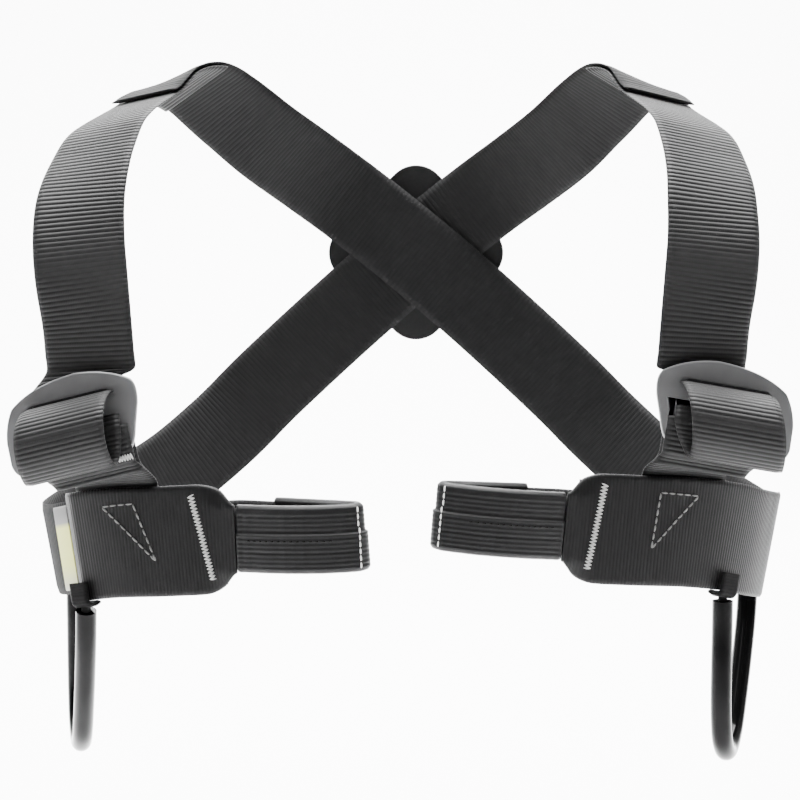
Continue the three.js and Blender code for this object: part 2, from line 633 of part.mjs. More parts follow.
function frontLoop(side) {
  const frames = loopFrames(side);
  addPiece("loop_webbing_" + side.name, wallOf(stripOf(frames, LOOP_WIDTH, 3), WEB_THICK), webbingBlack);

  const start = frames.findIndex((f) => beyondBelt(side, f) > SLEEVE_START);
  const finish = frames.findLastIndex((f) => beyondBelt(side, f) > SLEEVE_START * 2.6);
  const spare = 2 * CLEAR;
  const innerHalf = LOOP_WIDTH / 2 + spare;
  const innerOut = WEB_THICK / 2 + spare;
  const outerHalf = innerHalf + SLEEVE_WALL;
  const outerOut = innerOut + SLEEVE_WALL;
  const lap = outerOut + SLEEVE_LAP;
  const seam = outerHalf * 0.18;
  const outer = [
    [outerHalf, outerOut * 0.55], [outerHalf * 0.95, outerOut], [seam, outerOut], [seam - 1, lap],
    [-outerHalf * 0.95, lap], [-outerHalf, outerOut * 0.55],
    [-outerHalf, -outerOut * 0.55], [-outerHalf * 0.95, -outerOut], [outerHalf * 0.95, -outerOut],
    [outerHalf, -outerOut * 0.55],
  ];
  const inner = [
    [innerHalf, innerOut * 0.6], [innerHalf * 0.97, innerOut], [seam, innerOut], [seam - 1, innerOut],
    [-innerHalf * 0.97, innerOut], [-innerHalf, innerOut * 0.6],
    [-innerHalf, -innerOut * 0.6], [-innerHalf * 0.97, -innerOut], [innerHalf * 0.97, -innerOut],
    [innerHalf, -innerOut * 0.6],
  ];
  const sleeve = hollowSweep(frames.slice(start, finish + 1), outer, inner);
  addPiece("loop_sleeve_" + side.name, sleeve, darkBlack);
}

// How far a frame lies ahead of the belt's front end
function beyondBelt(side, frame) {
  const end = beltAt(side, 0, 0);
  return frame.at.clone().sub(end.at).dot(end.along);
}

// Side patch: a wide piece over the belt, the lower strap's end and the root of the loop
function sidePatch(side) {
  const nose = PATCH_NOSE.map((row) => ({ ...row, back: -row.along }));
  const frames = loopFrames(side);
  const lift = LAYER + 2 * CLEAR + (WEB_THICK + PATCH_THICK) / 2;
  const rearLift = CLEAR + (WEB_THICK + PATCH_THICK) / 2;
  const rows = [];
  const steps = 12;
  const settle = 4; // the patch comes down onto the belt over this length at its rear end
  const noseBack = nose[0].back;
  for (let i = 0; i <= steps; i++) {
    const back = side.patchLength + (noseBack - side.patchLength) * (i / steps);
    const down = THREE.MathUtils.smoothstep(back, side.patchLength - settle, side.patchLength);
    rows.push({ frame: beltAt(side, back, lift + (rearLift - lift) * down), height: 1, curl: 0 });
  }
  for (const row of nose.slice(1)) {
    const onLoop = frames.findIndex((f) => beyondBelt(side, f) > row.along);
    const a = frames[Math.max(onLoop - 1, 0)];
    const b = frames[onLoop];
    const from = beyondBelt(side, a);
    const k = (row.along - from) / (beyondBelt(side, b) - from);
    const frame = {
      at: move(a.at.clone().lerp(b.at, k), b.out, lift - LAYER),
      across: b.across, out: b.out, along: b.along,
    };
    rows.push({ frame, height: row.height, curl: row.curl });
  }
  const columns = 7;
  const sheet = rows.map(({ frame, height, curl }) => {
    const tall = PATCH_TONGUE + (PATCH_HEIGHT - PATCH_TONGUE) * height;
    return Array.from({ length: columns }, (_, j) => {
      const s = (j / (columns - 1)) * 2 - 1;
      const past = Math.max(0, Math.abs(s) * (tall / 2) - PATCH_TONGUE / 2) / (tall / 2);
      return move(frame.at, frame.across, (s * tall) / 2, frame.out, -curl * tall * past * 1.6);
    });
  });
  addPiece("side_patch_" + side.name, wallOf(sheet, PATCH_THICK), darkBlack);
}

// The two ends of the gear loop under a side's belt, and the way between them
function gearPlaces(side) {
  const at = (distance, low, lift) => {
    const f = beltAt(side, distance, lift);
    return { ...f, edge: move(f.at, f.across, -low) };
  };
  const outerFace = LAYER + 2 * CLEAR + (WEB_THICK + PATCH_THICK) / 2 + PATCH_THICK / 2;
  return [
    { name: "front", ...at(side.gearFront, PATCH_HEIGHT / 2, 0), outerFace },
    { name: "rear", ...at(GEAR_REAR, WEB_WIDTH / 2, 0), outerFace: WEB_THICK / 2 },
  ];
}

const tubeMouth = 2.4; // the tube starts this far below the tab's knob
// A gear loop that leans to the rear: across is the share of the way from its front end to its rear one, and
// down the share of GEAR_DROP. One with gearLean -1 leans ahead by as much.
const GEAR_ROWS = [
  { across: 0, down: 0 },
  { across: 0.06, down: 0.2 },
  { across: 0.2, down: 0.45 },
  { across: 0.39, down: 0.72 },
  { across: 0.57, down: 0.92 },
  { across: 0.76, down: 1 },
  { across: 0.93, down: 0.91 },
  { across: 1, down: 0.72 },
  { across: 1.01, down: 0.45 },
  { across: 1, down: 0.2 },
  { across: 1, down: 0 },
];

function knobCentre(place) {
  return move(place.edge, place.out, place.outerFace + TAB_SEAT + TAB_THICK - KNOB_DEPTH / 2);
}

function circle(radius, sides) {
  const outline = [];
  for (let k = 0; k < sides; k++) {
    const turn = (2 * Math.PI * k) / sides;
    outline.push(new THREE.Vector2(radius * Math.cos(turn), radius * Math.sin(turn)));
  }
  return outline;
}

function gearLoop(side) {
  const places = gearPlaces(side);
  const down = vector(0, 0, -1);
  const [front, rear] = places.map((place) => move(knobCentre(place), down, KNOB_DROP + CLEAR + tubeMouth));
  const span = rear.clone().sub(front);
  const rows = side.gearLean > 0
    ? GEAR_ROWS
    : GEAR_ROWS.toReversed().map((row) => ({ across: 1 - row.across, down: row.down }));
  const points = rows.map((row) => {
    const level = (GEAR_DROP + front.z - Math.max(front.z, rear.z)) * row.down;
    return move(front, span, row.across, down, level);
  });
  const tubeRoute = new THREE.CatmullRomCurve3(points, false, "centripetal");
  const ring = new THREE.Shape(circle(TUBE_WIDTH / 2, 10));
  ring.holes.push(new THREE.Path(circle(TUBE_WIDTH / 2 - TUBE_WALL, 10).reverse()));
  const tube = new THREE.ExtrudeGeometry(ring, { steps: 18, extrudePath: tubeRoute });
  addPiece("gear_tube_" + side.name, tube, tubeBlack);

  const tucked = KNOB_DROP * 0.7 + CLEAR + tubeMouth; // how far the cord reaches up into each knob
  const cordPoints = [
    move(points[0], down, -tucked), move(points[0], down, -tucked / 2), ...points,
    move(points.at(-1), down, -tucked / 2), move(points.at(-1), down, -tucked),
  ];
  const cordRoute = new THREE.CatmullRomCurve3(cordPoints, false, "centripetal");
  const cord = new THREE.ExtrudeGeometry(new THREE.Shape(circle(CORD_WIDTH / 2, 8)), {
    steps: 22, extrudePath: cordRoute,
  });
  addPiece("gear_cord_" + side.name, cord, darkBlack);

  for (const place of places) {
    gearTab(side, place, tucked);
  }
}

// A sewn tab: a flap on the outside of the belt and a knob under its edge that holds the cord's end
function gearTab(side, place, tucked) {
  const flapBack = place.outerFace + TAB_SEAT;
  const flapFront = flapBack + TAB_THICK;
  const knobBack = flapFront - KNOB_DEPTH;
  const profile = new THREE.Shape();
  profile.moveTo(flapFront, TAB_RISE);
  profile.lineTo(flapBack, TAB_RISE);
  profile.lineTo(flapBack, -CLEAR);
  profile.lineTo(knobBack, -CLEAR);
  profile.lineTo(knobBack + 1, -KNOB_DROP);
  profile.lineTo(flapFront - 1, -KNOB_DROP);
  profile.lineTo(flapFront, -KNOB_DROP * 0.5);
  profile.closePath();
  const block = new THREE.ExtrudeGeometry(profile, { depth: TAB_WIDTH, bevelEnabled: false });
  block.translate(0, 0, -TAB_WIDTH / 2);
  const sideways = place.out.clone().cross(place.across).normalize();
  const turn = new THREE.Matrix4().makeBasis(place.out, place.across, sideways);
  block.applyMatrix4(turn.setPosition(place.edge));
  const bore = new THREE.CylinderGeometry(
    CORD_WIDTH / 2 + CLEAR, CORD_WIDTH / 2 + CLEAR, tucked + CLEAR + KNOB_DROP, 12,
  );
  bore.rotateX(Math.PI / 2);
  const centre = knobCentre(place);
  bore.translate(centre.x, centre.y, centre.z - KNOB_DROP - CLEAR - tubeMouth + tucked + CLEAR
    - (tucked + CLEAR + KNOB_DROP) / 2);
  const solid = solidFrom(block).subtract(solidFrom(bore));
  addPiece("gear_tab_" + place.name + "_" + side.name, geometryOf(solid), darkBlack);
}

// Label: a thin plain cloth tag on the belt behind the patch's rear end
function label(side) {
  const gapToPatch = 3;
  const lift = WEB_THICK / 2 + CLEAR + LABEL_THICK / 2;
  const rows = Array.from({ length: 6 }, (_, i) => {
    const f = beltAt(side, side.patchLength + gapToPatch + (i / 5) * LABEL_LENGTH, lift);
    return [-0.5, 0, 0.5].map((s) => move(f.at, f.across, s * LABEL_HEIGHT));
  });
  addPiece("label", wallOf(rows, LABEL_THICK), labelCream);
}

for (const side of SIDES) {
  const strap = wallOf(stripOf(side.strap, WEB_WIDTH, STRAP_COLUMNS), WEB_THICK);
  addPiece("back_strap_" + side.name, strap, webbingBlack);
  shoulderStrap(side);
  buckle(side);
  lowerStrap(side);
  sidePatch(side);
  frontLoop(side);
  gearLoop(side);
}
backPlate();
label(left);

export default harness;
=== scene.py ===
"""A climbing chest harness of ribbed webbing, in the form it takes when it is worn.

Metres, +Z up, front towards -Y. Left and right are as seen from the front. Every strap is a sheet of points
that follows the same route as its solid, thickened into a ribbed band with its own UV map in metres: U runs
across the webbing and V along it.
"""

import math

import bpy
import numpy as np
from mathutils import Matrix, Vector


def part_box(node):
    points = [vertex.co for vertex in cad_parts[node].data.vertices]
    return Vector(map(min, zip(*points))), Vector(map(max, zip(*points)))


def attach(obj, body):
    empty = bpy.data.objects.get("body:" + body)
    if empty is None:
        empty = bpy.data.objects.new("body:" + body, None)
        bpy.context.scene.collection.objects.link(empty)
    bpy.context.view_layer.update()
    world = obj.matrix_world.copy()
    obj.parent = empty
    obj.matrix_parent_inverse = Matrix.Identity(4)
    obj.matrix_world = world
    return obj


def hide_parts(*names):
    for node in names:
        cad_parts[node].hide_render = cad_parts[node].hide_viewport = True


bl_info = {
    "name": "Climbing Chest Harness",
    "version": (1, 0, 0),
    "blender": (4, 5, 0),
    "location": "3D View > Sidebar > Harness",
    "description": "Builds a climbing chest harness of ribbed webbing around its packed frame",
    "category": "Object",
}

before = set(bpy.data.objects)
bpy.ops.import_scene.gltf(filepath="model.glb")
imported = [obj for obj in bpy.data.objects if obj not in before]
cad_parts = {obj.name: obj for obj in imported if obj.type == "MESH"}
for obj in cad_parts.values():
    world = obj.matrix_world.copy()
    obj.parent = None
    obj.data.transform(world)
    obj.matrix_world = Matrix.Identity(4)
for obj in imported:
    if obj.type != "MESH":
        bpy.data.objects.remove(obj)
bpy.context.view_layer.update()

# Sizes that the solids use too
HALF_WIDTH = 0.190
HALF_DEPTH = 0.100
BELT_DROP = 0.250
BACK_SHIFT = 0.009
WEB_WIDTH = 0.047
WEB_THICK = 0.0018
CLEAR = 0.0003
LAYER = WEB_THICK + CLEAR
PLATE_REACH = 0.049
PLATE_CORNER = 0.017
PLATE_THICK = 0.0026
BUCKLE_THICK = 0.003
BUCKLE_END = 0.0114
BUCKLE_ARCH = 0.0125
BUCKLE_FOOT = 0.034
BUCKLE_PITCH = 4
SLOT_HEIGHT = 0.005
SLOT_SPARE = 0.0014
UPPER_BAR = 0.007
LOWER_SLOT = 0.010
ROLL_DEPTH = 0.022
ROLL_DROP = 0.036
STRAP_INSET = 0.003
STRAP_SWING = 0.034
BUCKLE_WIDTH = WEB_WIDTH + SLOT_SPARE + 2 * BUCKLE_END
PATCH_HEIGHT = 0.055
PATCH_THICK = 0.002
PATCH_TONGUE = 0.034
ROOT_ALONG = 0.0545
ROOT_DEPTH = 0.042
LOOP_WIDTH = 0.0295
LOOP_REACH = 0.069
LOOP_GAP = 0.027
LOOP_ROOT = 0.028
SLEEVE_WALL = 0.0015
SLEEVE_LAP = 0.0008
SLEEVE_START = 0.008
TUBE_WIDTH = 0.0106
CORD_WIDTH = 0.0048
GEAR_DROP = 0.080
GEAR_REAR = 0.163
TAB_WIDTH = 0.014
TAB_THICK = 0.0024
TAB_RISE = 0.012
KNOB_DROP = 0.0024
KNOB_DEPTH = 0.009
TAB_SEAT = 0.0009
LABEL_LENGTH = 0.019
LABEL_HEIGHT = 0.043
LABEL_THICK = 0.0007

# Fineness of the routes and the cloth
WAY_STEPS = 24
ROW_STEP = 8
ROWS_PER_RIB = 6

# How far below its tab's knob a gear loop's tube begins
TUBE_MOUTH = 0.0024

# Finish of the pieces and the sewing
BACK_PLATE_EDGE = 0.0008
PATCH_SELVEDGE = 0.0022
TAB_SELVEDGE = 0.001
LABEL_SELVEDGE = 0.0008
STRAP_YARN = 0.0009
INNER_RIB_SHARE = 0.3
SLEEVE_SEAM = LOOP_WIDTH * 0.09
SLEEVE_LAP_SHOWN = SLEEVE_LAP * 1.5
SEAM_LIFT = SLEEVE_LAP * 1.45
TIP_LIFT = SLEEVE_LAP * 1.4
SLEEVE_RIB = 0.00035
SLEEVE_RIB_PITCH = 0.0023
SLEEVE_STEP = 0.0015
SLEEVE_REAR_START = SLEEVE_START * 2.6
WRINKLE_DEPTH = 0.00016
TAB_RIB_PITCH = 0.0016
LABEL_START = 0.003
LABEL_SHOWN = LABEL_LENGTH * 0.75
TACK_WIDTH = 0.0031
TACK_TURNS = 50
TIP_PITCH = 0.0034
TIP_STITCH = 0.0024
BUCKLE_TACK_ENDS = (0.0175, 0.0258)
BUCKLE_TACK_RISE = 0.0004
BUCKLE_TACK_HALF = 0.0014
BUCKLE_TACK_TURNS = 13

# How far the drawn slots end inside the webbing's edges, and how far they shift towards the outer side
SLOT_SNUG = 0.0026
UPPER_SLOT_SHIFT = -0.0008
LOWER_SLOT_SHIFT = -0.001

# The camera that matches the photo: a long lens that looks down a little
CAMERA_PLACE = (0, -1.3896, -0.0064)
CAMERA_PITCH = 7
CAMERA_LENS = 119.5
CAMERA_SENSOR = 36

SIDES = [
    dict(
        name="left", sign=-1, belt_rise=0, chest_out=0.0022, buckle_rise=0, buckle_out=0.0014, tilt=14.7,
        yaw=12, roll_lean=0.13, loop_rise=-0.003, patch_length=0.086, gear_front=0.081, gear_lean=1,
    ),
    dict(
        name="right", sign=1, belt_rise=0.0055, chest_out=-0.0016, buckle_rise=0.006, buckle_out=-0.0008,
        tilt=10.5, yaw=7, roll_lean=0.24, loop_rise=0.002, patch_length=0.138, gear_front=0.088, gear_lean=-1,
    ),
]

# x, y, z as shares of HALF_WIDTH, HALF_DEPTH and BELT_DROP, then the share of BACK_SHIFT, the share of the
# side's belt_rise, and the direction across the strap
CREST = [
    (0.694, -0.15, -0.08, 0.1, 0, 0.87, -0.42, 0.25),
    (0.645, -0.02, -0.052, 0.3, 0, 0.86, -0.38, 0.34),
    (0.585, 0.13, -0.058, 0.5, 0, 0.8, -0.38, 0.47),
]
BACK = [
    (0.505, 0.32, -0.108, 0.7, 0, 0.66, -0.33, 0.67),
    (0.415, 0.5, -0.172, 0.9, 0, 0.58, -0.25, 0.77),
    (0.31, 0.76, -0.238, 1, 0, 0.55, -0.15, 0.82),
    (0.24, 0.9, -0.28, 1, 0, 0.56, -0.05, 0.82),
    (0.18, 0.945, -0.315, 1, 0, 0.57, 0, 0.82),
    (0, 0.95, -0.424, 1, 0, 0.61, 0, 0.79),
    (-0.19, 0.95, -0.548, 1, 0, 0.65, 0, 0.76),
    (-0.44, 0.88, -0.722, 1, 0, 0.68, 0, 0.74),
    (-0.557, 0.83, -0.81, 1, 0, 0.66, 0, 0.75),
    (-0.7, 0.68, -0.9, 0.9, 0, 0.56, -0.1, 0.82),
]
BELT = [
    (-0.855, 0.42, -0.965, 0.8, 0.1, 0.4, -0.12, 0.9),
    (-0.96, 0.11, -1, 0.6, 0.2, 0.24, 0, 0.97),
    (-0.985, -0.16, -1.008, 0.5, 0.4, 0.19, 0, 0.98),
    (-0.94, -0.44, -0.996, 0.3, 0.7, 0.1, 0, 0.99),
    (-0.85, -0.67, -0.972, 0.1, 1, 0.03, 0, 1),
    (-0.74, -0.82, -0.953, 0, 1, 0, 0, 1),
    (-0.63, -0.91, -0.944, 0, 1, 0, 0, 1),
    (-0.52, -0.97, -0.936, 0, 1, 0, 0, 1),
    (-0.455, -0.995, -0.932, 0, 1, 0, 0, 1),
]
CHEST = [
    (0.775, -0.42, -0.13, 0, 0, 0.9, -0.36, 0.24),
    (0.802, -0.58, -0.182, 0, 0, 0.92, -0.3, 0.22),
    (0.815, -0.71, -0.232, 0, 0, 0.94, -0.24, 0.18),
    (0.819, -0.8, -0.281, 0, 0, 0.955, -0.2, 0.14),
    (0.818, -0.88, -0.35, 0, 0, 0.965, -0.16, 0.1),
    (0.81, -0.92, -0.42, 0, 0, 0.965, -0.15, 0.11),
    (0.796, -0.94, -0.51, 0, 0, 0.94, -0.26, 0.14),
    (0.787, -0.945, -0.6, 0, 0, 0.93, -0.27, 0.18),
]
BUCKLE_PLACE = (0.842, -1, -0.66)

# The front loop: share of LOOP_REACH ahead of the belt's end, share of LOOP_GAP back
LOOP_ROWS = [
    (0.12, -0.03), (0.3, -0.12), (0.5, -0.18), (0.72, -0.15), (0.9, -0.02), (0.975, 0.1),
    (0.97, 0.26), (0.88, 0.38), (0.7, 0.52), (0.48, 0.7), (0.24, 0.88), (0, 1),
]
# Its landing inside the belt: share of LOOP_ROOT back along the belt, share of LOOP_GAP inside it
LOOP_LANDING = [(0.62, 0.72), (1.05, 0.4), (1.45, 0.18), (1.85, 0.1), (2.3, 0.09)]
# The patch's front end: metres ahead of the belt's end, share of its full height, share of its curl
PATCH_NOSE = [
    (-0.014, 1, 0), (-0.008, 0.97, 0.02), (-0.004, 0.86, 0.06), (0, 0.64, 0.12),
    (0.0035, 0.3, 0.12), (0.006, 0.06, 0.03), (0.0074, 0, 0),
]
# A gear loop that leans to the rear: share of the way between its ends, share of GEAR_DROP
GEAR_ROWS = [
    (0, 0), (0.06, 0.2), (0.2, 0.45), (0.39, 0.72), (0.57, 0.92), (0.76, 1), (0.93, 0.91), (1, 0.72),
    (1.01, 0.45), (1, 0.2), (1, 0),
]


class HarnessSizes(bpy.types.PropertyGroup):
    rib_pitch: bpy.props.FloatProperty(
        name="Rib pitch", description="Distance between the cross ribs of the webbing", default=0.0024,
        unit="LENGTH",
    )
    rib_depth: bpy.props.FloatProperty(
        name="Rib depth", description="Depth of the grooves between the ribs", default=0.00034, unit="LENGTH",
    )
    patch_rib_pitch: bpy.props.FloatProperty(
        name="Patch rib pitch", description="Distance between the ribs of the side patches", default=0.0018,
        unit="LENGTH",
    )
    patch_rib_depth: bpy.props.FloatProperty(
        name="Patch rib depth", description="Depth of the grooves on the side patches", default=0.00006,
        unit="LENGTH",
    )
    stitch_length: bpy.props.FloatProperty(
        name="Stitch length", description="Length of one seam stitch", default=0.0041, unit="LENGTH",
    )
    thread_width: bpy.props.FloatProperty(
        name="Thread width", description="Thickness of the sewing thread", default=0.001, unit="LENGTH",
    )
    plate_edge: bpy.props.FloatProperty(
        name="Plate edge radius", description="Rounding of the buckle's edges", default=0.0009, unit="LENGTH",
    )


class HarnessColours(bpy.types.PropertyGroup):
    webbing: bpy.props.FloatVectorProperty(
        name="Webbing", description="Colour of the webbing's ribs", subtype="COLOR", size=4,
        default=(0.009, 0.009, 0.0092, 1),
    )
    # Painted shade: the grooves between the ribs are coloured darker than the ribs.
    groove: bpy.props.FloatVectorProperty(
        name="Grooves", description="Colour between the ribs", subtype="COLOR", size=4,
        default=(0.0022, 0.0022, 0.0023, 1),
    )
    patch: bpy.props.FloatVectorProperty(
        name="Patches and sleeves", description="Colour of the smooth cloth", subtype="COLOR", size=4,
        default=(0.0042, 0.0042, 0.0044, 1),
    )
    buckle: bpy.props.FloatVectorProperty(
        name="Buckles", description="Colour of the satin coating", subtype="COLOR", size=4,
        default=(0.1, 0.1, 0.102, 1),
    )
    tube: bpy.props.FloatVectorProperty(
        name="Gear loops", description="Colour of the glossy tube", subtype="COLOR", size=4,
        default=(0.0012, 0.0012, 0.0013, 1),
    )
    thread: bpy.props.FloatVectorProperty(
        name="Thread", description="Colour of the visible stitching", subtype="COLOR", size=4,
        default=(0.36, 0.36, 0.35, 1),
    )
    label: bpy.props.FloatVectorProperty(
        name="Label", description="Colour of the label's middle", subtype="COLOR", size=4,
        default=(0.6, 0.62, 0.17, 1),
    )


# Small vector helpers

def unit(v):
    v = np.asarray(v, float)
    return v / np.maximum(np.linalg.norm(v, axis=-1, keepdims=True), 1e-12)


def smoothstep(x, low, high):
    k = np.clip((np.asarray(x, float) - low) / (high - low), 0, 1)
    return k * k * (3 - 2 * k)


def hermite(t, start, leave, end, arrive):
    """A cubic between two places, which leaves and arrives along the given steps."""
    return (
        start * (2 * t**3 - 3 * t**2 + 1) + leave * (t**3 - 2 * t**2 + t)
        + end * (3 * t**2 - 2 * t**3) + arrive * (t**3 - t**2)
    )


def spline(points, per_span, centripetal=True):
    """Points of a Catmull-Rom curve through the given ones, per_span to each span."""
    pts = np.asarray(points, float)
    ends = np.concatenate([[2 * pts[0] - pts[1]], pts, [2 * pts[-1] - pts[-2]]])
    t = np.linspace(0, 1, per_span, endpoint=False).reshape((-1,) + (1,) * (pts.ndim - 1))
    made = []
    for p0, p1, p2, p3 in zip(ends, ends[1:], ends[2:], ends[3:]):
        if centripetal:
            d0, d1, d2 = (max(np.linalg.norm(b - a) ** 0.5, 1e-5) for a, b in ((p0, p1), (p1, p2), (p2, p3)))
            m1 = ((p1 - p0) / d0 - (p2 - p0) / (d0 + d1) + (p2 - p1) / d1) * d1
            m2 = ((p2 - p1) / d1 - (p3 - p1) / (d1 + d2) + (p3 - p2) / d2) * d1
        else:
            m1, m2 = (p2 - p0) / 2, (p3 - p1) / 2
        made.append(hermite(t, p1, m1, p2, m2))
    return np.concatenate(made + [pts[-1:]])


def lengths(points):
    """Distance run along a chain of points."""
    steps = np.linalg.norm(np.diff(points, axis=0), axis=1)
    return np.concatenate([[0], np.cumsum(steps)])


def resampled(values, run, want):
    """Rows of values, known at the distances run, as they are at the distances want."""
    return np.stack([np.interp(want, run, column) for column in values.T], -1)


class Way:
    """Frames along a strap: places, and the directions along it, across it and out of its face."""

    def __init__(self, at, along, across, out):
        self.at, self.along, self.across, self.out = at, along, across, out
        self.run = lengths(at)

    @classmethod
    def through(cls, stations, handed, per_span=WAY_STEPS):
        at = spline([s[0] for s in stations], per_span)
        across = spline([s[1] for s in stations], per_span, centripetal=False)
        along = unit(np.gradient(at, axis=0))
        across = unit(across - along * np.sum(across * along, axis=1, keepdims=True))
        return cls(at, along, across, unit(np.cross(along, across) * handed))

    def part(self, start, end=None):
        return Way(self.at[start:end], self.along[start:end], self.across[start:end], self.out[start:end])

    def lifted(self, lift):
        lift = np.broadcast_to(np.asarray(lift, float), len(self.at))[:, None]
        return Way(self.at + self.out * lift, self.along, self.across, self.out)

    def turned(self):
        return Way(self.at[::-1], self.along[::-1], self.across[::-1], self.out[::-1])

    def pick(self, distance, lift=0.0, height=0.0):
        """Place and directions at a distance from the first frame; past the ends it goes straight on."""
        i = int(np.clip(np.searchsorted(self.run, distance) - 1, 0, len(self.run) - 2))
        k = (distance - self.run[i]) / (self.run[i + 1] - self.run[i])
        along, across, out = (
            unit(a[i] + (a[i + 1] - a[i]) * np.clip(k, 0, 1)) for a in (self.along, self.across, self.out)
        )
        at = self.at[i] + (self.at[i + 1] - self.at[i]) * k
        return at + out * lift + across * height, along, across, out


def station(row, sign, belt_rise):
    x, y, z, off, rise, ax, ay, az = row
    at = np.array([
        sign * x * HALF_WIDTH + off * BACK_SHIFT, y * HALF_DEPTH, z * BELT_DROP + rise * belt_rise,
    ])
    return at, unit([-sign * ax, ay, az])


def back_way(side, far_side):
    """The back strap from the cut end on one shoulder, across the back and round the other flank."""
    stations = [station(r, side["sign"], far_side["belt_rise"]) for r in [CHEST[0], *CREST, *BACK, *BELT]]
    way = Way.through(stations, side["sign"]).part(WAY_STEPS)
    s = np.arange(len(way.at)) / WAY_STEPS
    crest_end = len(CREST) - 1
    belt_start = crest_end + len(BACK)
    over = LAYER + CLEAR if side["sign"] > 0 else 0
    down = smoothstep(s, crest_end, crest_end + 2)
    return way.lifted(
        (LAYER + CLEAR) * (1 - down) + over * down * (1 - smoothstep(s, belt_start - 2, belt_start))
    )


LEFT, RIGHT = SIDES
LEFT["strap"], RIGHT["strap"] = back_way(LEFT, RIGHT), back_way(RIGHT, LEFT)
LEFT["belt"], RIGHT["belt"] = RIGHT["strap"].turned(), LEFT["strap"].turned()


def buckle_frame(side):
    """Place of the upper slot, and the directions along the slots, up the plate and out of its face."""
    turn = (
        Matrix.Rotation(math.radians(-side["yaw"]), 3, "Z")
        @ Matrix.Rotation(math.radians(-side["tilt"]), 3, "Y")
        @ Matrix.Rotation(math.radians(-BUCKLE_PITCH), 3, "X")
    )
    mirror = np.array([-side["sign"], 1, 1])
    inner, up, face = (np.array(turn @ Vector(v)) * mirror for v in ((1, 0, 0), (0, 0, 1), (0, -1, 0)))
    x, y, z = BUCKLE_PLACE
    at = np.array([
        side["sign"] * (x * HALF_WIDTH + side["buckle_out"]), y * HALF_DEPTH,
        z * BELT_DROP + side["buckle_rise"],
    ])
    return at, inner, up, face


UPPER_FOOT = -SLOT_HEIGHT / 2
LOWER_TOP = UPPER_FOOT - UPPER_BAR
LOWER_FOOT = LOWER_TOP - LOWER_SLOT
ON_PLATE = BUCKLE_THICK / 2 + CLEAR + WEB_THICK / 2
FOLD_TOP = LOWER_FOOT + ON_PLATE * 0.74


def straight_rows(at, across, width, columns):
    s = np.linspace(-0.5, 0.5, columns)[None, :, None]
    return at[:, None, :] + across[:, None, :] * s * width


def buckle_rows(side, places, middle, columns):
    """Rows of a strap at places on a buckle: up its plate, out of its face and, if given, along its slots."""
    at, inner, up, face = buckle_frame(side)
    centres = np.array([
        at + inner * (middle + sum(drift)) + up * u + face * f for u, f, *drift in places
    ])
    return straight_rows(centres, np.broadcast_to(inner, centres.shape), WEB_WIDTH, columns)


def passage(start, leave, end, arrive, steps, pull):
    """Rows between two rows of points, leaving and arriving along the given directions."""
    t = (np.arange(1, steps) / steps)[:, None, None]
    return hermite(t, start, leave * pull, end, arrive * pull)


def mixed_rows(grid, places):
    """Rows of a grid at places between its own rows."""
    low = np.minimum(places.astype(int), len(grid) - 2)
    k = (places - low)[:, None, None]
    return grid[low] * (1 - k) + grid[low + 1] * k


class Sheet:
    """A dense sheet of points: rows along the cloth, columns across it, with distances both ways."""

    def __init__(self, rows, step, columns):
        dense = spline(rows, 10)
        run = lengths(dense[:, dense.shape[1] // 2])
        count = max(int(round(run[-1] / step)), 4)
        self.v = np.linspace(0, run[-1], count + 1)
        dense = mixed_rows(dense, np.interp(self.v, run, np.arange(len(run))))
        across = spline(np.swapaxes(dense, 0, 1), 8, centripetal=False)
        self.points = np.swapaxes(mixed_rows(across, np.linspace(0, len(across) - 1, columns)), 0, 1)
        widths = np.linalg.norm(np.diff(self.points, axis=1), axis=2)
        self.width = float(np.median(widths.sum(axis=1)))
        self.u = np.linspace(-0.5, 0.5, columns) * self.width
        self.normal = unit(np.cross(np.gradient(self.points, axis=0), np.gradient(self.points, axis=1)))

    def flip(self):
        self.normal = -self.normal
        return self

    def spot(self, u, v):
        """Place and face normal at a place across and along the sheet, in metres."""
        i = np.clip(np.interp(v, self.v, np.arange(len(self.v))), 0, len(self.v) - 1.001)
        j = np.clip(np.interp(u, self.u, np.arange(len(self.u))), 0, len(self.u) - 1.001)
        a, b = int(i), int(j)
        p, q = i - a, j - b

        def mixed(grid):
            return (
                grid[a, b] * (1 - p) * (1 - q) + grid[a + 1, b] * p * (1 - q)
                + grid[a, b + 1] * (1 - p) * q + grid[a + 1, b + 1] * p * q
            )

        return mixed(self.points), unit(mixed(self.normal))


def mesh_piece(name, points, faces, uvs=None):
    """A new mesh object from points, quads and a UV for each point of each face."""
    mesh = bpy.data.meshes.new(name)
    faces = np.asarray(faces, np.int32)
    corners = faces.shape[1]
    mesh.vertices.add(len(points))
    mesh.vertices.foreach_set("co", np.asarray(points, np.float32).ravel())
    mesh.loops.add(faces.size)
    mesh.loops.foreach_set("vertex_index", faces.ravel())
    mesh.polygons.add(len(faces))
    mesh.polygons.foreach_set("loop_start", np.arange(len(faces), dtype=np.int32) * corners)
    mesh.polygons.foreach_set("use_smooth", np.ones(len(faces), bool))
    if uvs is not None:
        layer = mesh.uv_layers.new(name="UVMap")
        layer.data.foreach_set("uv", np.asarray(uvs, np.float32)[faces.ravel()].ravel())
    mesh.update(calc_edges=True)
    mesh.validate()
    piece = bpy.data.objects.new(name, mesh)
    bpy.context.scene.collection.objects.link(piece)
    return piece


def ring_walls(rows, around):
    """Quads between closed rings of points."""
    i, j = np.meshgrid(np.arange(rows - 1), np.arange(around), indexing="ij")
    n = (j + 1) % around
    quads = np.stack([i * around + j, (i + 1) * around + j, (i + 1) * around + n, i * around + n], -1)
    return quads.reshape(-1, 4)


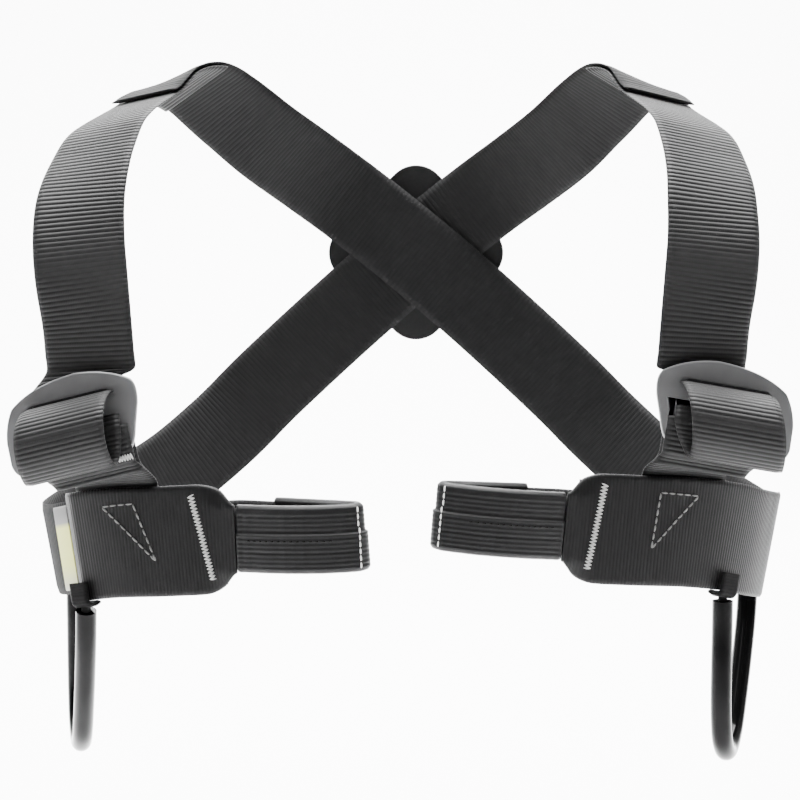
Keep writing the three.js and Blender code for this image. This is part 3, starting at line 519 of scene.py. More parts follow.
def facing_outwards(points, faces):
    """The quads of a closed form, all turned over if they enclose a negative volume."""
    a, b, c, d = (points[faces[:, k]] for k in range(4))
    volume = np.sum(a * np.cross(b, c)) + np.sum(a * np.cross(c, d))
    return faces[:, ::-1] if volume < 0 else faces


def band(name, sheet, thickness, rib_pitch=0.0, rib_depth=0.0, selvedge=0.0012):
    """A closed band about a sheet, with cross ribs on both faces and thin rounded edges."""
    rows, columns = sheet.points.shape[:2]
    groove = np.zeros(rows)
    if rib_pitch:
        groove = rib_depth * (1 - np.abs(np.sin(math.pi * sheet.v / rib_pitch)) ** 0.7)
    edge = np.clip((sheet.width / 2 - np.abs(sheet.u)) / selvedge, 0, 1)
    edge = 0.3 + 0.7 * np.sqrt(1 - (1 - edge) ** 2)
    half = (thickness / 2 - groove)[:, None] * edge[None, :]
    top = sheet.points + sheet.normal * half[..., None]
    bottom = sheet.points - sheet.normal * half[..., None]
    ring = np.concatenate([top, bottom[:, ::-1]], axis=1)
    around = ring.shape[1]
    points = ring.reshape(-1, 3)
    u = np.concatenate([sheet.u, sheet.u[::-1]])
    uvs = np.stack(np.broadcast_arrays(u[None, :], sheet.v[:, None]), axis=-1).reshape(-1, 2)
    j = np.arange(columns - 1)
    first = np.stack([j, j + 1, around - 2 - j, around - 1 - j], -1)
    base = (rows - 1) * around
    last = np.stack([base + j, base + around - 1 - j, base + around - 2 - j, base + j + 1], -1)
    faces = np.concatenate([ring_walls(rows, around), first, last])
    return mesh_piece(name, points, facing_outwards(points, faces), uvs)


def finish_piece(piece, material, slot, *nodes):
    piece.data.materials.clear()
    piece.data.materials.append(material)
    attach(piece, "root")
    if nodes:
        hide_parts(*nodes)
    return piece


def clear_selection():
    if bpy.context.object and bpy.context.object.mode != "OBJECT":
        bpy.ops.object.mode_set(mode="OBJECT")
    bpy.ops.object.select_all(action="DESELECT")


def only(piece):
    clear_selection()
    piece.select_set(True)
    bpy.context.view_layer.objects.active = piece


# Materials

def group_of(name, inputs, outputs):
    group = bpy.data.node_groups.new(name, "ShaderNodeTree")
    for label, value in inputs:
        socket = group.interface.new_socket(label, in_out="INPUT", socket_type="NodeSocketFloat")
        socket.default_value = value
    for label in outputs:
        group.interface.new_socket(label, in_out="OUTPUT", socket_type="NodeSocketFloat")
    return group, group.nodes.new("NodeGroupInput"), group.nodes.new("NodeGroupOutput")


def math_node(tree, operation, *values):
    node = tree.nodes.new("ShaderNodeMath")
    node.operation = operation
    for socket, value in zip(node.inputs, values):
        if isinstance(value, (int, float)):
            socket.default_value = value
        else:
            tree.links.new(value, socket)
    return node.outputs[0]


def ribs_group():
    """Masks of a ribbed weave on a UV map in metres: rib crests, single yarns, and a height for bump."""
    found = bpy.data.node_groups.get("RibbedWeave")
    if found:
        return found
    group, given, made = group_of(
        "RibbedWeave", [("Rib Pitch", 0.0024), ("Yarn Pitch", 0.0008), ("Unevenness", 0.3)],
        ["Crest", "Yarn", "Height", "Mottle"],
    )
    uv = group.nodes.new("ShaderNodeUVMap")
    parts = group.nodes.new("ShaderNodeSeparateXYZ")
    group.links.new(uv.outputs[0], parts.inputs[0])
    across, along = parts.outputs[0], parts.outputs[1]
    phase = math_node(
        group, "DIVIDE", math_node(group, "MULTIPLY", along, math.pi), given.outputs["Rib Pitch"],
    )
    crest = math_node(group, "ABSOLUTE", math_node(group, "SINE", phase))
    shift = math_node(group, "MULTIPLY", math_node(group, "FLOOR", math_node(
        group, "DIVIDE", along, given.outputs["Rib Pitch"])), math.pi / 2)
    yarn_phase = math_node(group, "ADD", math_node(group, "DIVIDE", math_node(
        group, "MULTIPLY", across, math.pi), given.outputs["Yarn Pitch"]), shift)
    yarn = math_node(group, "ABSOLUTE", math_node(group, "SINE", yarn_phase))
    noise = group.nodes.new("ShaderNodeTexNoise")
    noise.inputs["Scale"].default_value = 260
    noise.inputs["Detail"].default_value = 3
    group.links.new(uv.outputs[0], noise.inputs["Vector"])
    mottle = math_node(group, "MULTIPLY_ADD", math_node(
        group, "SUBTRACT", noise.outputs["Fac"], 0.5), given.outputs["Unevenness"], 0.5)
    height = math_node(group, "MULTIPLY_ADD", yarn, 0.3, crest)
    height = math_node(group, "ADD", height, mottle)
    for socket, value in zip(made.inputs, (crest, yarn, height, mottle)):
        group.links.new(value, socket)
    return group


def grain_group():
    """A fine grain on Object coordinates: a value about 0.5 and a height."""
    found = bpy.data.node_groups.get("FineGrain")
    if found:
        return found
    group, given, made = group_of("FineGrain", [("Scale", 900.0), ("Amount", 0.5)], ["Grain", "Cloud"])
    place = group.nodes.new("ShaderNodeTexCoord")
    for output, detail, factor in (("Grain", 4, 1.0), ("Cloud", 2, 0.03)):
        noise = group.nodes.new("ShaderNodeTexNoise")
        noise.inputs["Detail"].default_value = detail
        group.links.new(place.outputs["Object"], noise.inputs["Vector"])
        group.links.new(math_node(group, "MULTIPLY", given.outputs["Scale"], factor), noise.inputs["Scale"])
        centred = math_node(group, "SUBTRACT", noise.outputs["Fac"], 0.5)
        value = math_node(group, "MULTIPLY_ADD", centred, given.outputs["Amount"], 0.5)
        group.links.new(value, made.inputs[output])
    return group


def new_material(name, roughness, **sockets):
    material = bpy.data.materials.new(name)
    material.use_nodes = True
    shader = material.node_tree.nodes["Principled BSDF"]
    shader.inputs["Roughness"].default_value = roughness
    for label, value in sockets.items():
        shader.inputs[label.replace("_", " ")].default_value = value
    return material, material.node_tree, shader


def mixed_colour(tree, factor, first, second):
    node = tree.nodes.new("ShaderNodeMix")
    node.data_type = "RGBA"
    tree.links.new(factor, node.inputs["Factor"])
    for socket, value in ((node.inputs["A"], first), (node.inputs["B"], second)):
        if hasattr(value, "is_linked"):
            tree.links.new(value, socket)
        else:
            socket.default_value = value
    return node.outputs["Result"]


def bumped(tree, shader, height, strength, distance):
    node = tree.nodes.new("ShaderNodeBump")
    node.inputs["Strength"].default_value = strength
    node.inputs["Distance"].default_value = distance
    tree.links.new(height, node.inputs["Height"])
    tree.links.new(node.outputs[0], shader.inputs["Normal"])


def grouped(tree, group, **values):
    node = tree.nodes.new("ShaderNodeGroup")
    node.node_tree = group
    for label, value in values.items():
        node.inputs[label.replace("_", " ")].default_value = value
    return node


def tone(colour, factor):
    return (colour[0] * factor, colour[1] * factor, colour[2] * factor, 1)


def made_once(build):
    """Lets a function build each named material on its first call, and return the same one later."""

    def material(name, *values, **settings):
        return bpy.data.materials.get(name) or build(name, *values, **settings)

    return material


def grained_colour(tree, shader, colour, mask, low, high, **settings):
    """Colours a shader between two tones by one of the grain's masks, and returns the grain's node."""
    grain = grouped(tree, grain_group(), **settings)
    base = mixed_colour(tree, grain.outputs[mask], tone(colour, low), tone(colour, high))
    tree.links.new(base, shader.inputs["Base Color"])
    return grain


@made_once
def webbing_material(name, colour, groove, pitch, yarn, contrast=0.6, roughness=0.55, sheen=0.02, gloss=0.16):
    material, tree, shader = new_material(
        name, roughness, Sheen_Weight=sheen, Sheen_Roughness=0.45, Specular_IOR_Level=gloss,
    )
    weave = grouped(tree, ribs_group(), Rib_Pitch=pitch, Yarn_Pitch=yarn)
    # Painted shade: the colour darkens from the rib crests into the grooves, on top of the grooves' modelled
    # depth.
    crest = math_node(tree, "POWER", weave.outputs["Crest"], contrast)
    base = mixed_colour(tree, crest, groove, colour)
    # Painted highlight: the yarns' crests are mixed towards a lighter tone, as where light catches them; the
    # mottle adds a random tone as well.
    yarns = math_node(tree, "MULTIPLY_ADD", weave.outputs["Yarn"], 0.45, math_node(
        tree, "SUBTRACT", weave.outputs["Mottle"], 0.1))
    varied_tone = mixed_colour(tree, math_node(tree, "MULTIPLY", yarns, 0.5), base, tone(colour, 1.35))
    tree.links.new(varied_tone, shader.inputs["Base Color"])
    bumped(tree, shader, weave.outputs["Height"], 0.5, yarn * 0.25)
    return material


@made_once
def plain_cloth_material(name, colour, roughness, scale):
    material, tree, shader = new_material(
        name, roughness, Sheen_Weight=0.015, Sheen_Roughness=0.4, Specular_IOR_Level=0.14,
    )
    grain = grained_colour(tree, shader, colour, "Grain", 0.6, 1.5, Scale=scale, Amount=0.9)
    bumped(tree, shader, grain.outputs["Grain"], 0.35, 0.0002)
    return material


@made_once
def satin_material(name, colour):
    material, tree, shader = new_material(name, 0.4, Metallic=0.35, Specular_IOR_Level=0.5)
    grain = grained_colour(tree, shader, colour, "Cloud", 0.8, 1.2, Scale=2400.0, Amount=0.8)
    rough = math_node(tree, "MULTIPLY_ADD", grain.outputs["Grain"], 0.16, 0.32)
    tree.links.new(rough, shader.inputs["Roughness"])
    bumped(tree, shader, grain.outputs["Grain"], 0.18, 0.0001)
    return material


@made_once
def tube_material(name, colour):
    material, tree, shader = new_material(
        name, 0.22, Coat_Weight=0.02, Coat_Roughness=0.12, Specular_IOR_Level=0.07,
    )
    grain = grained_colour(tree, shader, colour, "Cloud", 0.7, 1.5, Scale=500.0, Amount=0.7)
    rough = math_node(tree, "MULTIPLY_ADD", grain.outputs["Cloud"], 0.12, 0.1)
    tree.links.new(rough, shader.inputs["Roughness"])
    return material


@made_once
def thread_material(name, colour):
    material, tree, shader = new_material(name, 0.7, Sheen_Weight=0.02, Specular_IOR_Level=0.12)
    grain = grained_colour(tree, shader, colour, "Grain", 0.65, 1.25, Scale=2600.0, Amount=1.0)
    bumped(tree, shader, grain.outputs["Grain"], 0.3, 0.0001)
    return material


def web_material(context):
    colours, sizes = context.scene.harness_colours, context.scene.harness_sizes
    return webbing_material(
        "RibbedWebbing", tuple(colours.webbing), tuple(colours.groove), sizes.rib_pitch, STRAP_YARN,
    )


def shaded_inner_web_material(context):
    """The webbing of the back straps, flatter and duller than the rest, its ribs painted darker as shade on
    the back.
    """
    colours, sizes = context.scene.harness_colours, context.scene.harness_sizes
    return webbing_material(
        "InnerWebbing", tone(colours.webbing, 0.9), tone(colours.webbing, 0.62), sizes.rib_pitch, STRAP_YARN,
        roughness=0.75, sheen=0.01, gloss=0.08,
    )


def patch_material(context):
    colours, sizes = context.scene.harness_colours, context.scene.harness_sizes
    # The patch's grooves are painted darker than its ribs, as shade between them.
    return webbing_material(
        "PatchCloth", tuple(colours.patch), tone(colours.patch, 0.42), sizes.patch_rib_pitch, 0.0007,
        contrast=0.5, roughness=0.45, sheen=0.01, gloss=0.11,
    )


# Straps

def webbing_strap(context, name, rows, columns, rib_share=1.0, material=web_material):
    """A strap of ribbed webbing through rows of points, in place of the solid of that name."""
    sizes = context.scene.harness_sizes
    sheet = Sheet(rows, sizes.rib_pitch / ROWS_PER_RIB, columns)
    piece = band(name + "_webbing", sheet, WEB_THICK, sizes.rib_pitch, sizes.rib_depth * rib_share)
    finish_piece(piece, material(context), "webbing", name)


def shoulder_rows(side):
    """From the crest down the chest, through the buckle, round the open roll and back into the buckle."""
    stations = [station(r, side["sign"], 0) for r in [BACK[0], *CREST[::-1], *CHEST]]
    first = len(stations) - len(CHEST)
    for i, (at, _) in enumerate(stations[first:]):
        at[0] += side["sign"] * side["chest_out"] * min(1, i / 3)
    way = Way.through(stations, -side["sign"]).part(WAY_STEPS)
    chest = straight_rows(way.at[::ROW_STEP], way.across[::ROW_STEP], WEB_WIDTH, 5)
    returning = ON_PLATE + LAYER
    lean = -side["roll_lean"] * ROLL_DROP
    places = [
        (SLOT_HEIGHT * 0.9, -ON_PLATE * 1.07),
        (SLOT_HEIGHT * 0.24, -ON_PLATE * 1.07),
        (-SLOT_HEIGHT * 0.05, -ON_PLATE * 0.58),
        (-SLOT_HEIGHT * 0.12, 0),
        (-SLOT_HEIGHT * 0.12, ON_PLATE * 0.7),
        (-SLOT_HEIGHT * 0.1, ROLL_DEPTH * 0.24),
        (-ROLL_DROP * 0.06, ROLL_DEPTH * 0.47, lean * 0.06),
        (-ROLL_DROP * 0.17, ROLL_DEPTH * 0.76, lean * 0.17),
        (-ROLL_DROP * 0.33, ROLL_DEPTH * 0.95, lean * 0.33),
        (-ROLL_DROP * 0.53, ROLL_DEPTH, lean * 0.53),
        (-ROLL_DROP * 0.73, ROLL_DEPTH * 0.93, lean * 0.73),
        (-ROLL_DROP * 0.9, ROLL_DEPTH * 0.73, lean * 0.9),
        (-ROLL_DROP * 0.985, ROLL_DEPTH * 0.5, lean),
        (-ROLL_DROP * 0.96, ROLL_DEPTH * 0.32, lean * 0.9),
        (-ROLL_DROP * 0.88, returning + 0.0005, lean * 0.7),
        (-ROLL_DROP * 0.72, returning, lean * 0.3),
        (LOWER_FOOT + 0.0005, returning),
        (LOWER_TOP - LOWER_SLOT * 0.52, returning * 0.72),
        (LOWER_TOP - LOWER_SLOT * 0.28, ON_PLATE * 0.6),
        (LOWER_TOP - LOWER_SLOT * 0.24, 0),
        (LOWER_TOP - LOWER_SLOT * 0.22, -ON_PLATE * 0.68),
        (LOWER_TOP - LOWER_SLOT * 0.11, -ON_PLATE * 1.1),
        (LOWER_TOP + UPPER_BAR * 0.2, -ON_PLATE * 1.1),
        (LOWER_TOP + UPPER_BAR * 0.7, -ON_PLATE * 1.1),
    ]
    buckled = buckle_rows(side, places, 0, 5)
    _, _, up, face = buckle_frame(side)
    leave = unit(chest[-1] - chest[-2])
    between = passage(chest[-1], leave, buckled[0], up * -0.9 + face * 0.4, 4, 0.008)
    return np.concatenate([chest, between, buckled])


def lower_rows(side):
    """From the folded end over the buckle's lower bar and down to the root under the patch."""
    foot = -BUCKLE_FOOT
    places = [
        (foot - 0.0078, -ON_PLATE + LAYER, 0.003),
        (foot - 0.006, -ON_PLATE + LAYER * 1.2, 0.002),
        (foot - 0.0042, ON_PLATE * 0.1, 0.001),
        (foot - 0.0022, ON_PLATE * 0.85),
        (foot + 0.002, ON_PLATE),
        (FOLD_TOP - ON_PLATE * 1.07, ON_PLATE * 1.07),
        (FOLD_TOP - ON_PLATE * 0.4, ON_PLATE * 0.93),
        (FOLD_TOP - ON_PLATE * 0.07, ON_PLATE * 0.45),
        (FOLD_TOP, 0),
        (FOLD_TOP - ON_PLATE * 0.07, -ON_PLATE * 0.45),
        (FOLD_TOP - ON_PLATE * 0.4, -ON_PLATE * 0.93),
        (FOLD_TOP - ON_PLATE * 1.07, -ON_PLATE * 1.07),
        (foot + 0.004, -ON_PLATE),
        (foot - 0.002, -ON_PLATE - 0.0004),
    ]
    columns = 7
    looped = buckle_rows(side, places, STRAP_INSET, columns)
    top = PATCH_HEIGHT / 2 + 0.001
    root = np.array([
        [
            side["belt"].pick(ROOT_ALONG - s * WEB_WIDTH, LAYER, top - t * ROOT_DEPTH)[0]
            for s in np.linspace(-0.5, 0.5, columns)
        ]
        for t in (0, 0.25, 0.5, 0.75, 1)
    ])
    _, inner, up, face = buckle_frame(side)
    drawn_in = np.linspace(STRAP_SWING, 0, columns)[:, None] * inner
    leave = up * -0.015 - face * 0.005 + drawn_in
    between = passage(looped[-1], leave, root[0], unit(root[1] - root[0]) * 0.012, 5, 1)
    return np.concatenate([looped, between, root])


class HARNESS_OT_back_straps(bpy.types.Operator):
    """Two straps from the shoulders, crossed on the back and led round the flanks as the belt"""

    bl_idname = "harness.back_straps"
    bl_label = "Back Straps"

    def execute(self, context):
        for side in SIDES:
            way = side["strap"]
            rows = straight_rows(way.at[::ROW_STEP], way.across[::ROW_STEP], WEB_WIDTH, 5)
            name = "back_strap_" + side["name"]
            # The back straps take the webbing that is painted darker as shade.
            webbing_strap(context, name, rows, 13, INNER_RIB_SHARE, shaded_inner_web_material)
        return {"FINISHED"}


class HARNESS_OT_shoulder_straps(bpy.types.Operator):
    """Front straps from the shoulders, threaded through the buckles and doubled back as a roll"""

    bl_idname = "harness.shoulder_straps"
    bl_label = "Shoulder Straps"

    def execute(self, context):
        for side in SIDES:
            webbing_strap(context, "shoulder_strap_" + side["name"], shoulder_rows(side), 17)
        return {"FINISHED"}


class HARNESS_OT_lower_straps(bpy.types.Operator):
    """Short straps folded round the lower bars of the buckles and sewn under the side patches"""

    bl_idname = "harness.lower_straps"
    bl_label = "Lower Straps"

    def execute(self, context):
        for side in SIDES:
            webbing_strap(context, "lower_strap_" + side["name"], lower_rows(side), 15)
        return {"FINISHED"}


# Side patches and front loops

def loop_way(side):
    """The front loop's route: from its root on the belt, ahead and round, and back inside the belt."""
    end, ahead, across, out = side["belt"].pick(0, LAYER)
    stations = [side["belt"].pick(k * LOOP_ROOT, LAYER)[::2] for k in (1, 0.55, 0.15)]
    for forward, back in LOOP_ROWS:
        at = (
            end + ahead * forward * LOOP_REACH - out * back * LOOP_GAP
            + across * max(0, forward) * side["loop_rise"]
        )
        stations.append((at, across))
    for along, off in LOOP_LANDING:
        stations.append(side["belt"].pick(along * LOOP_ROOT, -off * LOOP_GAP)[::2])
    return Way.through(stations, -side["sign"], 12)


def ahead_of_belt(side, points):
    """How far each point lies ahead of the belt's end."""
    end, ahead, _, _ = side["belt"].pick(0)
    return (points - end) @ ahead


def patch_rows(side):
    """Upright rows over the belt, from the patch's rear edge to its nose, which tapers onto the loop."""
    lift = LAYER + 2 * CLEAR + (WEB_THICK + PATCH_THICK) / 2
    rear_lift = CLEAR + (WEB_THICK + PATCH_THICK) / 2
    settle = 0.004
    nose_back = -PATCH_NOSE[0][0]
    spots = []
    for back in np.linspace(side["patch_length"], nose_back, 13):
        down = smoothstep(back, side["patch_length"] - settle, side["patch_length"])
        at, _, across, out = side["belt"].pick(back, lift + (rear_lift - lift) * down)
        spots.append((at, across, out, 1, 0))
    way = loop_way(side)
    beyond = ahead_of_belt(side, way.at)
    for along, height, curl in PATCH_NOSE[1:]:
        i = int(np.argmax(beyond > along))
        a = max(i - 1, 0)
        k = (along - beyond[a]) / (beyond[i] - beyond[a])
        at = way.at[a] + (way.at[i] - way.at[a]) * k + way.out[i] * (lift - LAYER)
        spots.append((at, way.across[i], way.out[i], height, curl))
    rows = []
    for at, across, out, height, curl in spots:
        tall = PATCH_TONGUE + (PATCH_HEIGHT - PATCH_TONGUE) * height
        s = np.linspace(-1, 1, 13)
        past = np.maximum(0, np.abs(s) * tall / 2 - PATCH_TONGUE / 2) / (tall / 2)
        rows.append(at + np.outer(s * tall / 2, across) + np.outer(-curl * tall * past * 1.6, out))
    return np.array(rows)


def facing_out(side, sheet):
    """Turns the sheet's normals off the body."""
    middle = sheet.points.shape[0] // 2
    _, _, _, out = side["belt"].pick(side["patch_length"] / 2)
    return sheet if np.dot(sheet.normal[middle, sheet.points.shape[1] // 2], out) > 0 else sheet.flip()


class HARNESS_OT_side_patches(bpy.types.Operator):
    """Wide ribbed pieces over the belt, the lower straps' ends and the roots of the front loops"""

    bl_idname = "harness.side_patches"
    bl_label = "Side Patches"

    def execute(self, context):
        sizes = context.scene.harness_sizes
        for side in SIDES:
            name = "side_patch_" + side["name"]
            sheet = facing_out(side, Sheet(patch_rows(side), sizes.patch_rib_pitch / ROWS_PER_RIB, 37))
            side["patch"] = sheet
            piece = band(
                name + "_cloth", sheet, PATCH_THICK, sizes.patch_rib_pitch, sizes.patch_rib_depth,
                PATCH_SELVEDGE,
            )
            finish_piece(piece, patch_material(context), "patch_cloth", name)
        return {"FINISHED"}


def sleeve_ring(outer, lap):
    """The sleeve's section as [across, out] places: a flat loop, raised by the lap past the seam."""
    spare = 2 * CLEAR
    half_across = LOOP_WIDTH / 2 + spare + (SLEEVE_WALL if outer else 0)
    half_out = WEB_THICK / 2 + spare + (SLEEVE_WALL if outer else 0)
    round_off = half_out * 0.96
    flat = half_across - round_off - 0.001
    ring = []
    for centre, turns in (
        ((half_across - round_off, half_out - round_off), (0, 90)),
        ((-half_across + round_off, half_out - round_off), (90, 180)),
        ((-half_across + round_off, -half_out + round_off), (180, 270)),
        ((half_across - round_off, -half_out + round_off), (270, 360)),
    ):
        if turns[0] == 90:
            for across in np.linspace(flat, SLEEVE_SEAM + 0.0004, 5):
                ring.append((across, half_out))
            for across in np.linspace(SLEEVE_SEAM, -flat, 9):
                ring.append((across, half_out + (lap if outer else 0)))
        if turns[0] == 270:
            for across in np.linspace(-flat, flat, 13):
                ring.append((across, -half_out))
        for turn in np.radians(np.linspace(*turns, 6)):
            lifted = lap if outer and turns[0] == 90 and turn < math.radians(150) else 0
            ring.append((
                centre[0] + round_off * math.cos(turn), centre[1] + (round_off + lifted) * math.sin(turn),
            ))
    return ribbed_ring(np.array(ring), SLEEVE_RIB if outer else 0)


def ribbed_ring(ring, depth, count=120):
    """The ring with more points, evenly spaced, and ribs that run along the sleeve."""
    closed = np.concatenate([ring, ring[:1]])
    run = lengths(closed)
    want = np.linspace(0, run[-1], count, endpoint=False)
    dense = resampled(closed, run, want)
    ahead = np.roll(dense, -1, axis=0) - np.roll(dense, 1, axis=0)
    normal = unit(np.stack([ahead[:, 1], -ahead[:, 0]], -1))
    ribs = round(run[-1] / SLEEVE_RIB_PITCH)
    ripple = np.abs(np.sin(math.pi * ribs * want / run[-1])) ** 0.6 - 0.7
    return dense + normal * (depth * ripple)[:, None]


def sleeve(side, way):
    """A closed shell of cloth round the loop's webbing, open at both ends for it."""
    beyond = ahead_of_belt(side, way.at)
    start = int(np.argmax(beyond > SLEEVE_START))
    finish = len(beyond) - 1 - int(np.argmax(beyond[::-1] > SLEEVE_REAR_START))
    part = way.part(start, finish + 1)
    count = int(part.run[-1] / SLEEVE_STEP)
    want = np.linspace(0, part.run[-1], count)
    at, across, out = (resampled(values, part.run, want) for values in (part.at, part.across, part.out))
    across, out = unit(across), unit(out)
    rings = [sleeve_ring(True, SLEEVE_LAP_SHOWN), sleeve_ring(False, 0)]
    layers = [
        at[:, None] + across[:, None] * ring[None, :, :1] + out[:, None] * ring[None, :, 1:] for ring in rings
    ]
    wrinkle = WRINKLE_DEPTH * np.sin(want * 900 + 3 * np.sin(want * 210))[:, None, None]
    layers[0] = layers[0] + out[:, None] * wrinkle * np.sign(rings[0][None, :, 1:])
    around = len(rings[0])
    points = np.concatenate([layer.reshape(-1, 3) for layer in layers])
    shell = count * around
    outside = np.roll(ring_walls(count, around)[:, ::-1], 1, axis=1)
    inside = outside[:, ::-1] + shell
    k = np.arange(around)
    n = (k + 1) % around
    end = (count - 1) * around
    mouth = np.stack([k, k + shell, n + shell, n], -1)
    tail = np.stack([end + k, end + n, end + n + shell, end + k + shell], -1)
    faces = facing_outwards(points, np.concatenate([outside, inside, mouth, tail]))
    uvs = np.stack(np.broadcast_arrays(lengths(rings[0])[None, :], want[:, None]), -1).reshape(-1, 2)
    side["sleeve"] = (at, across, out)
    return mesh_piece("loop_sleeve_" + side["name"] + "_cloth", points, faces, np.concatenate([uvs, uvs]))


class HARNESS_OT_front_loops(bpy.types.Operator):
    """Attachment loops of narrow webbing in cloth sleeves, ahead of the belt's ends"""

    bl_idname = "harness.front_loops"
    bl_label = "Front Loops"

    def execute(self, context):
        colours = context.scene.harness_colours
        cloth = plain_cloth_material("SleeveCloth", tone(colours.patch, 1.3), 0.45, 1500.0)
        for side in SIDES:
            way = loop_way(side)
            rows = straight_rows(way.at[::3], way.across[::3], LOOP_WIDTH, 5)
            webbing_strap(context, "loop_webbing_" + side["name"], rows, 13)
            finish_piece(sleeve(side, way), cloth, "patch_cloth", "loop_sleeve_" + side["name"])
        return {"FINISHED"}


# Buckles and back plate, drawn as flat curves with thickness and rounded edges

def quadratic(points, start, control, end, steps=14):
    """Adds the points of a curve that is drawn towards its control place."""
    for k in range(1, steps + 1):
        t = k / steps
        points.append(tuple(
            start[i] * (1 - t) ** 2 + 2 * control[i] * t * (1 - t) + end[i] * t**2 for i in range(2)
        ))


def buckle_outline():
    """The plate's edge about the upper slot's middle, from its outer top corner over the arch and round."""
    half = BUCKLE_WIDTH / 2
    arch, foot = BUCKLE_ARCH, BUCKLE_FOOT
    points = [(-half * 0.86, arch * 0.2)]
    steps = [
        ((-half * 0.5, arch * 0.94), (half * 0.15, arch)),
        ((half * 0.6, arch * 0.9), (half * 0.91, arch * 0.3)),
        ((half, arch * 0.02), (half * 0.94, -foot * 0.26)),
        (None, (half * 0.83, -foot * 0.6)),
        ((half * 0.74, -foot * 0.97), (half * 0.5, -foot)),
        (None, (-half * 0.84, -foot * 0.93)),
        ((-half * 1.02, -foot * 0.92), (-half * 1.05, -foot * 0.72)),
        (None, (-half * 1.04, -foot * 0.4)),
        ((-half, -foot * 0.12), (-half * 0.86, arch * 0.2)),
    ]
    for control, end in steps:
        if control:
            quadratic(points, points[-1], control, end)
        else:
            points.append(end)
    return points[:-1]


def slot_outline(middle, reach, top, foot, corner=0.0012):
    """A slot with rounded corners."""
    points = []
    for cx, cy, start in (
        (middle + reach - corner, top - corner, 0), (middle - reach + corner, top - corner, 90),
        (middle - reach + corner, foot + corner, 180), (middle + reach - corner, foot + corner, 270),
    ):
        for turn in np.radians(np.linspace(start, start + 90, 5)):
            points.append((cx + corner * math.cos(turn), cy + corner * math.sin(turn)))
    return points


def drawn_lines(name, dimensions, fill, lines, closed):
    """The data of a new curve, the active object, with a straight-sided line through each list of places."""
    clear_selection()
    bpy.ops.curve.primitive_bezier_circle_add(radius=0.01)
    drawn = bpy.context.object
    drawn.name = name
    curve = drawn.data
    curve.dimensions = dimensions
    curve.fill_mode = fill
    curve.splines.clear()
    for places in lines:
        line = curve.splines.new("POLY")
        line.points.add(len(places) - 1)
        for point, place in zip(line.points, places):
            point.co = (*place, 1)
        line.use_cyclic_u = closed
    return curve


def curve_to_mesh(join, angle):
    """Turns the active curve into a closed mesh, smooth but for edges over the angle."""
    bpy.ops.object.convert(target="MESH")
    piece = bpy.context.object
    bpy.ops.object.mode_set(mode="EDIT")
    bpy.ops.mesh.select_all(action="SELECT")
    bpy.ops.mesh.remove_doubles(threshold=join)
    bpy.ops.mesh.normals_make_consistent(inside=False)
    bpy.ops.object.mode_set(mode="OBJECT")
    bpy.ops.object.shade_smooth_by_angle(angle=math.radians(angle))
    return piece


def flat_solid(name, outlines, thickness, edge):
    """A filled flat curve of closed outlines, given thickness and rounded edges, as a mesh."""
    lines = [[(x, y, 0) for x, y in outline] for outline in outlines]
    curve = drawn_lines(name, "2D", "BOTH", lines, True)
    curve.extrude = thickness / 2 - edge
    curve.bevel_depth = edge
    curve.bevel_resolution = 3
    curve.offset = -edge
    return curve_to_mesh(0.00002, 40)


def outward(piece):
    """Turns the faces of a closed piece outwards."""
    only(piece)
    bpy.ops.object.mode_set(mode="EDIT")
    bpy.ops.mesh.select_all(action="SELECT")
    bpy.ops.mesh.normals_make_consistent(inside=False)
    bpy.ops.object.mode_set(mode="OBJECT")
    return piece


def placed(piece, at, x, y, z):
    """Moves the mesh of a piece, drawn about the origin, to a place, its axes along x, y and z."""
    co = np.empty(len(piece.data.vertices) * 3, np.float32)
    piece.data.vertices.foreach_get("co", co)
    co = co.reshape(-1, 3).astype(float)
    co = at + np.outer(co[:, 0], x) + np.outer(co[:, 1], y) + np.outer(co[:, 2], z)
    piece.data.vertices.foreach_set("co", co.astype(np.float32).ravel())
    piece.data.update()
    return outward(piece)


class HARNESS_OT_buckles(bpy.types.Operator):
    """Two slotted plates with an arched top and rounded edges"""

    bl_idname = "harness.buckles"
    bl_label = "Buckles"

    def execute(self, context):
        sizes, colours = context.scene.harness_sizes, context.scene.harness_colours
        snug = WEB_WIDTH / 2 - SLOT_SNUG
        over_strap = WEB_THICK / 2 + CLEAR
        lower_top = FOLD_TOP + over_strap * 0.3
        outlines = [
            buckle_outline(),
            slot_outline(UPPER_SLOT_SHIFT, snug, over_strap, UPPER_FOOT),
            slot_outline(STRAP_INSET + LOWER_SLOT_SHIFT, snug, lower_top, LOWER_FOOT),
        ]
        coating = satin_material("SatinCoating", tuple(colours.buckle))
        for side in SIDES:
            name = "buckle_" + side["name"]
            piece = flat_solid(name + "_plate", outlines, BUCKLE_THICK, sizes.plate_edge)
            finish_piece(placed(piece, *buckle_frame(side)), coating, "buckle_metal", name)
        return {"FINISHED"}


class HARNESS_OT_back_plate(bpy.types.Operator):
    """A square plate stood on its corner over the crossing, with rounded corners"""

    bl_idname = "harness.back_plate"
    bl_label = "Back Plate"

    def execute(self, context):
        colours = context.scene.harness_colours
        low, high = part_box("back_plate")
        middle = (np.array(low) + np.array(high)) / 2
        outline = []
        inset = PLATE_REACH - PLATE_CORNER
        for quarter in range(4):
            turn = quarter * math.pi / 2
            for a in np.linspace(turn - math.pi / 4, turn + math.pi / 4, 12):
                outline.append((
                    inset * math.cos(turn) + PLATE_CORNER * math.cos(a),
                    inset * math.sin(turn) + PLATE_CORNER * math.sin(a),
                ))
        piece = flat_solid("back_plate_sheet", [outline], PLATE_THICK, BACK_PLATE_EDGE)
        placed(piece, middle, (1, 0, 0), (0, 0, 1), (0, 1, 0))
        leather = plain_cloth_material("PlateLeather", tuple(colours.patch), 0.6, 700.0)
        finish_piece(piece, leather, "webbing", "back_plate")
        return {"FINISHED"}


# Gear loops

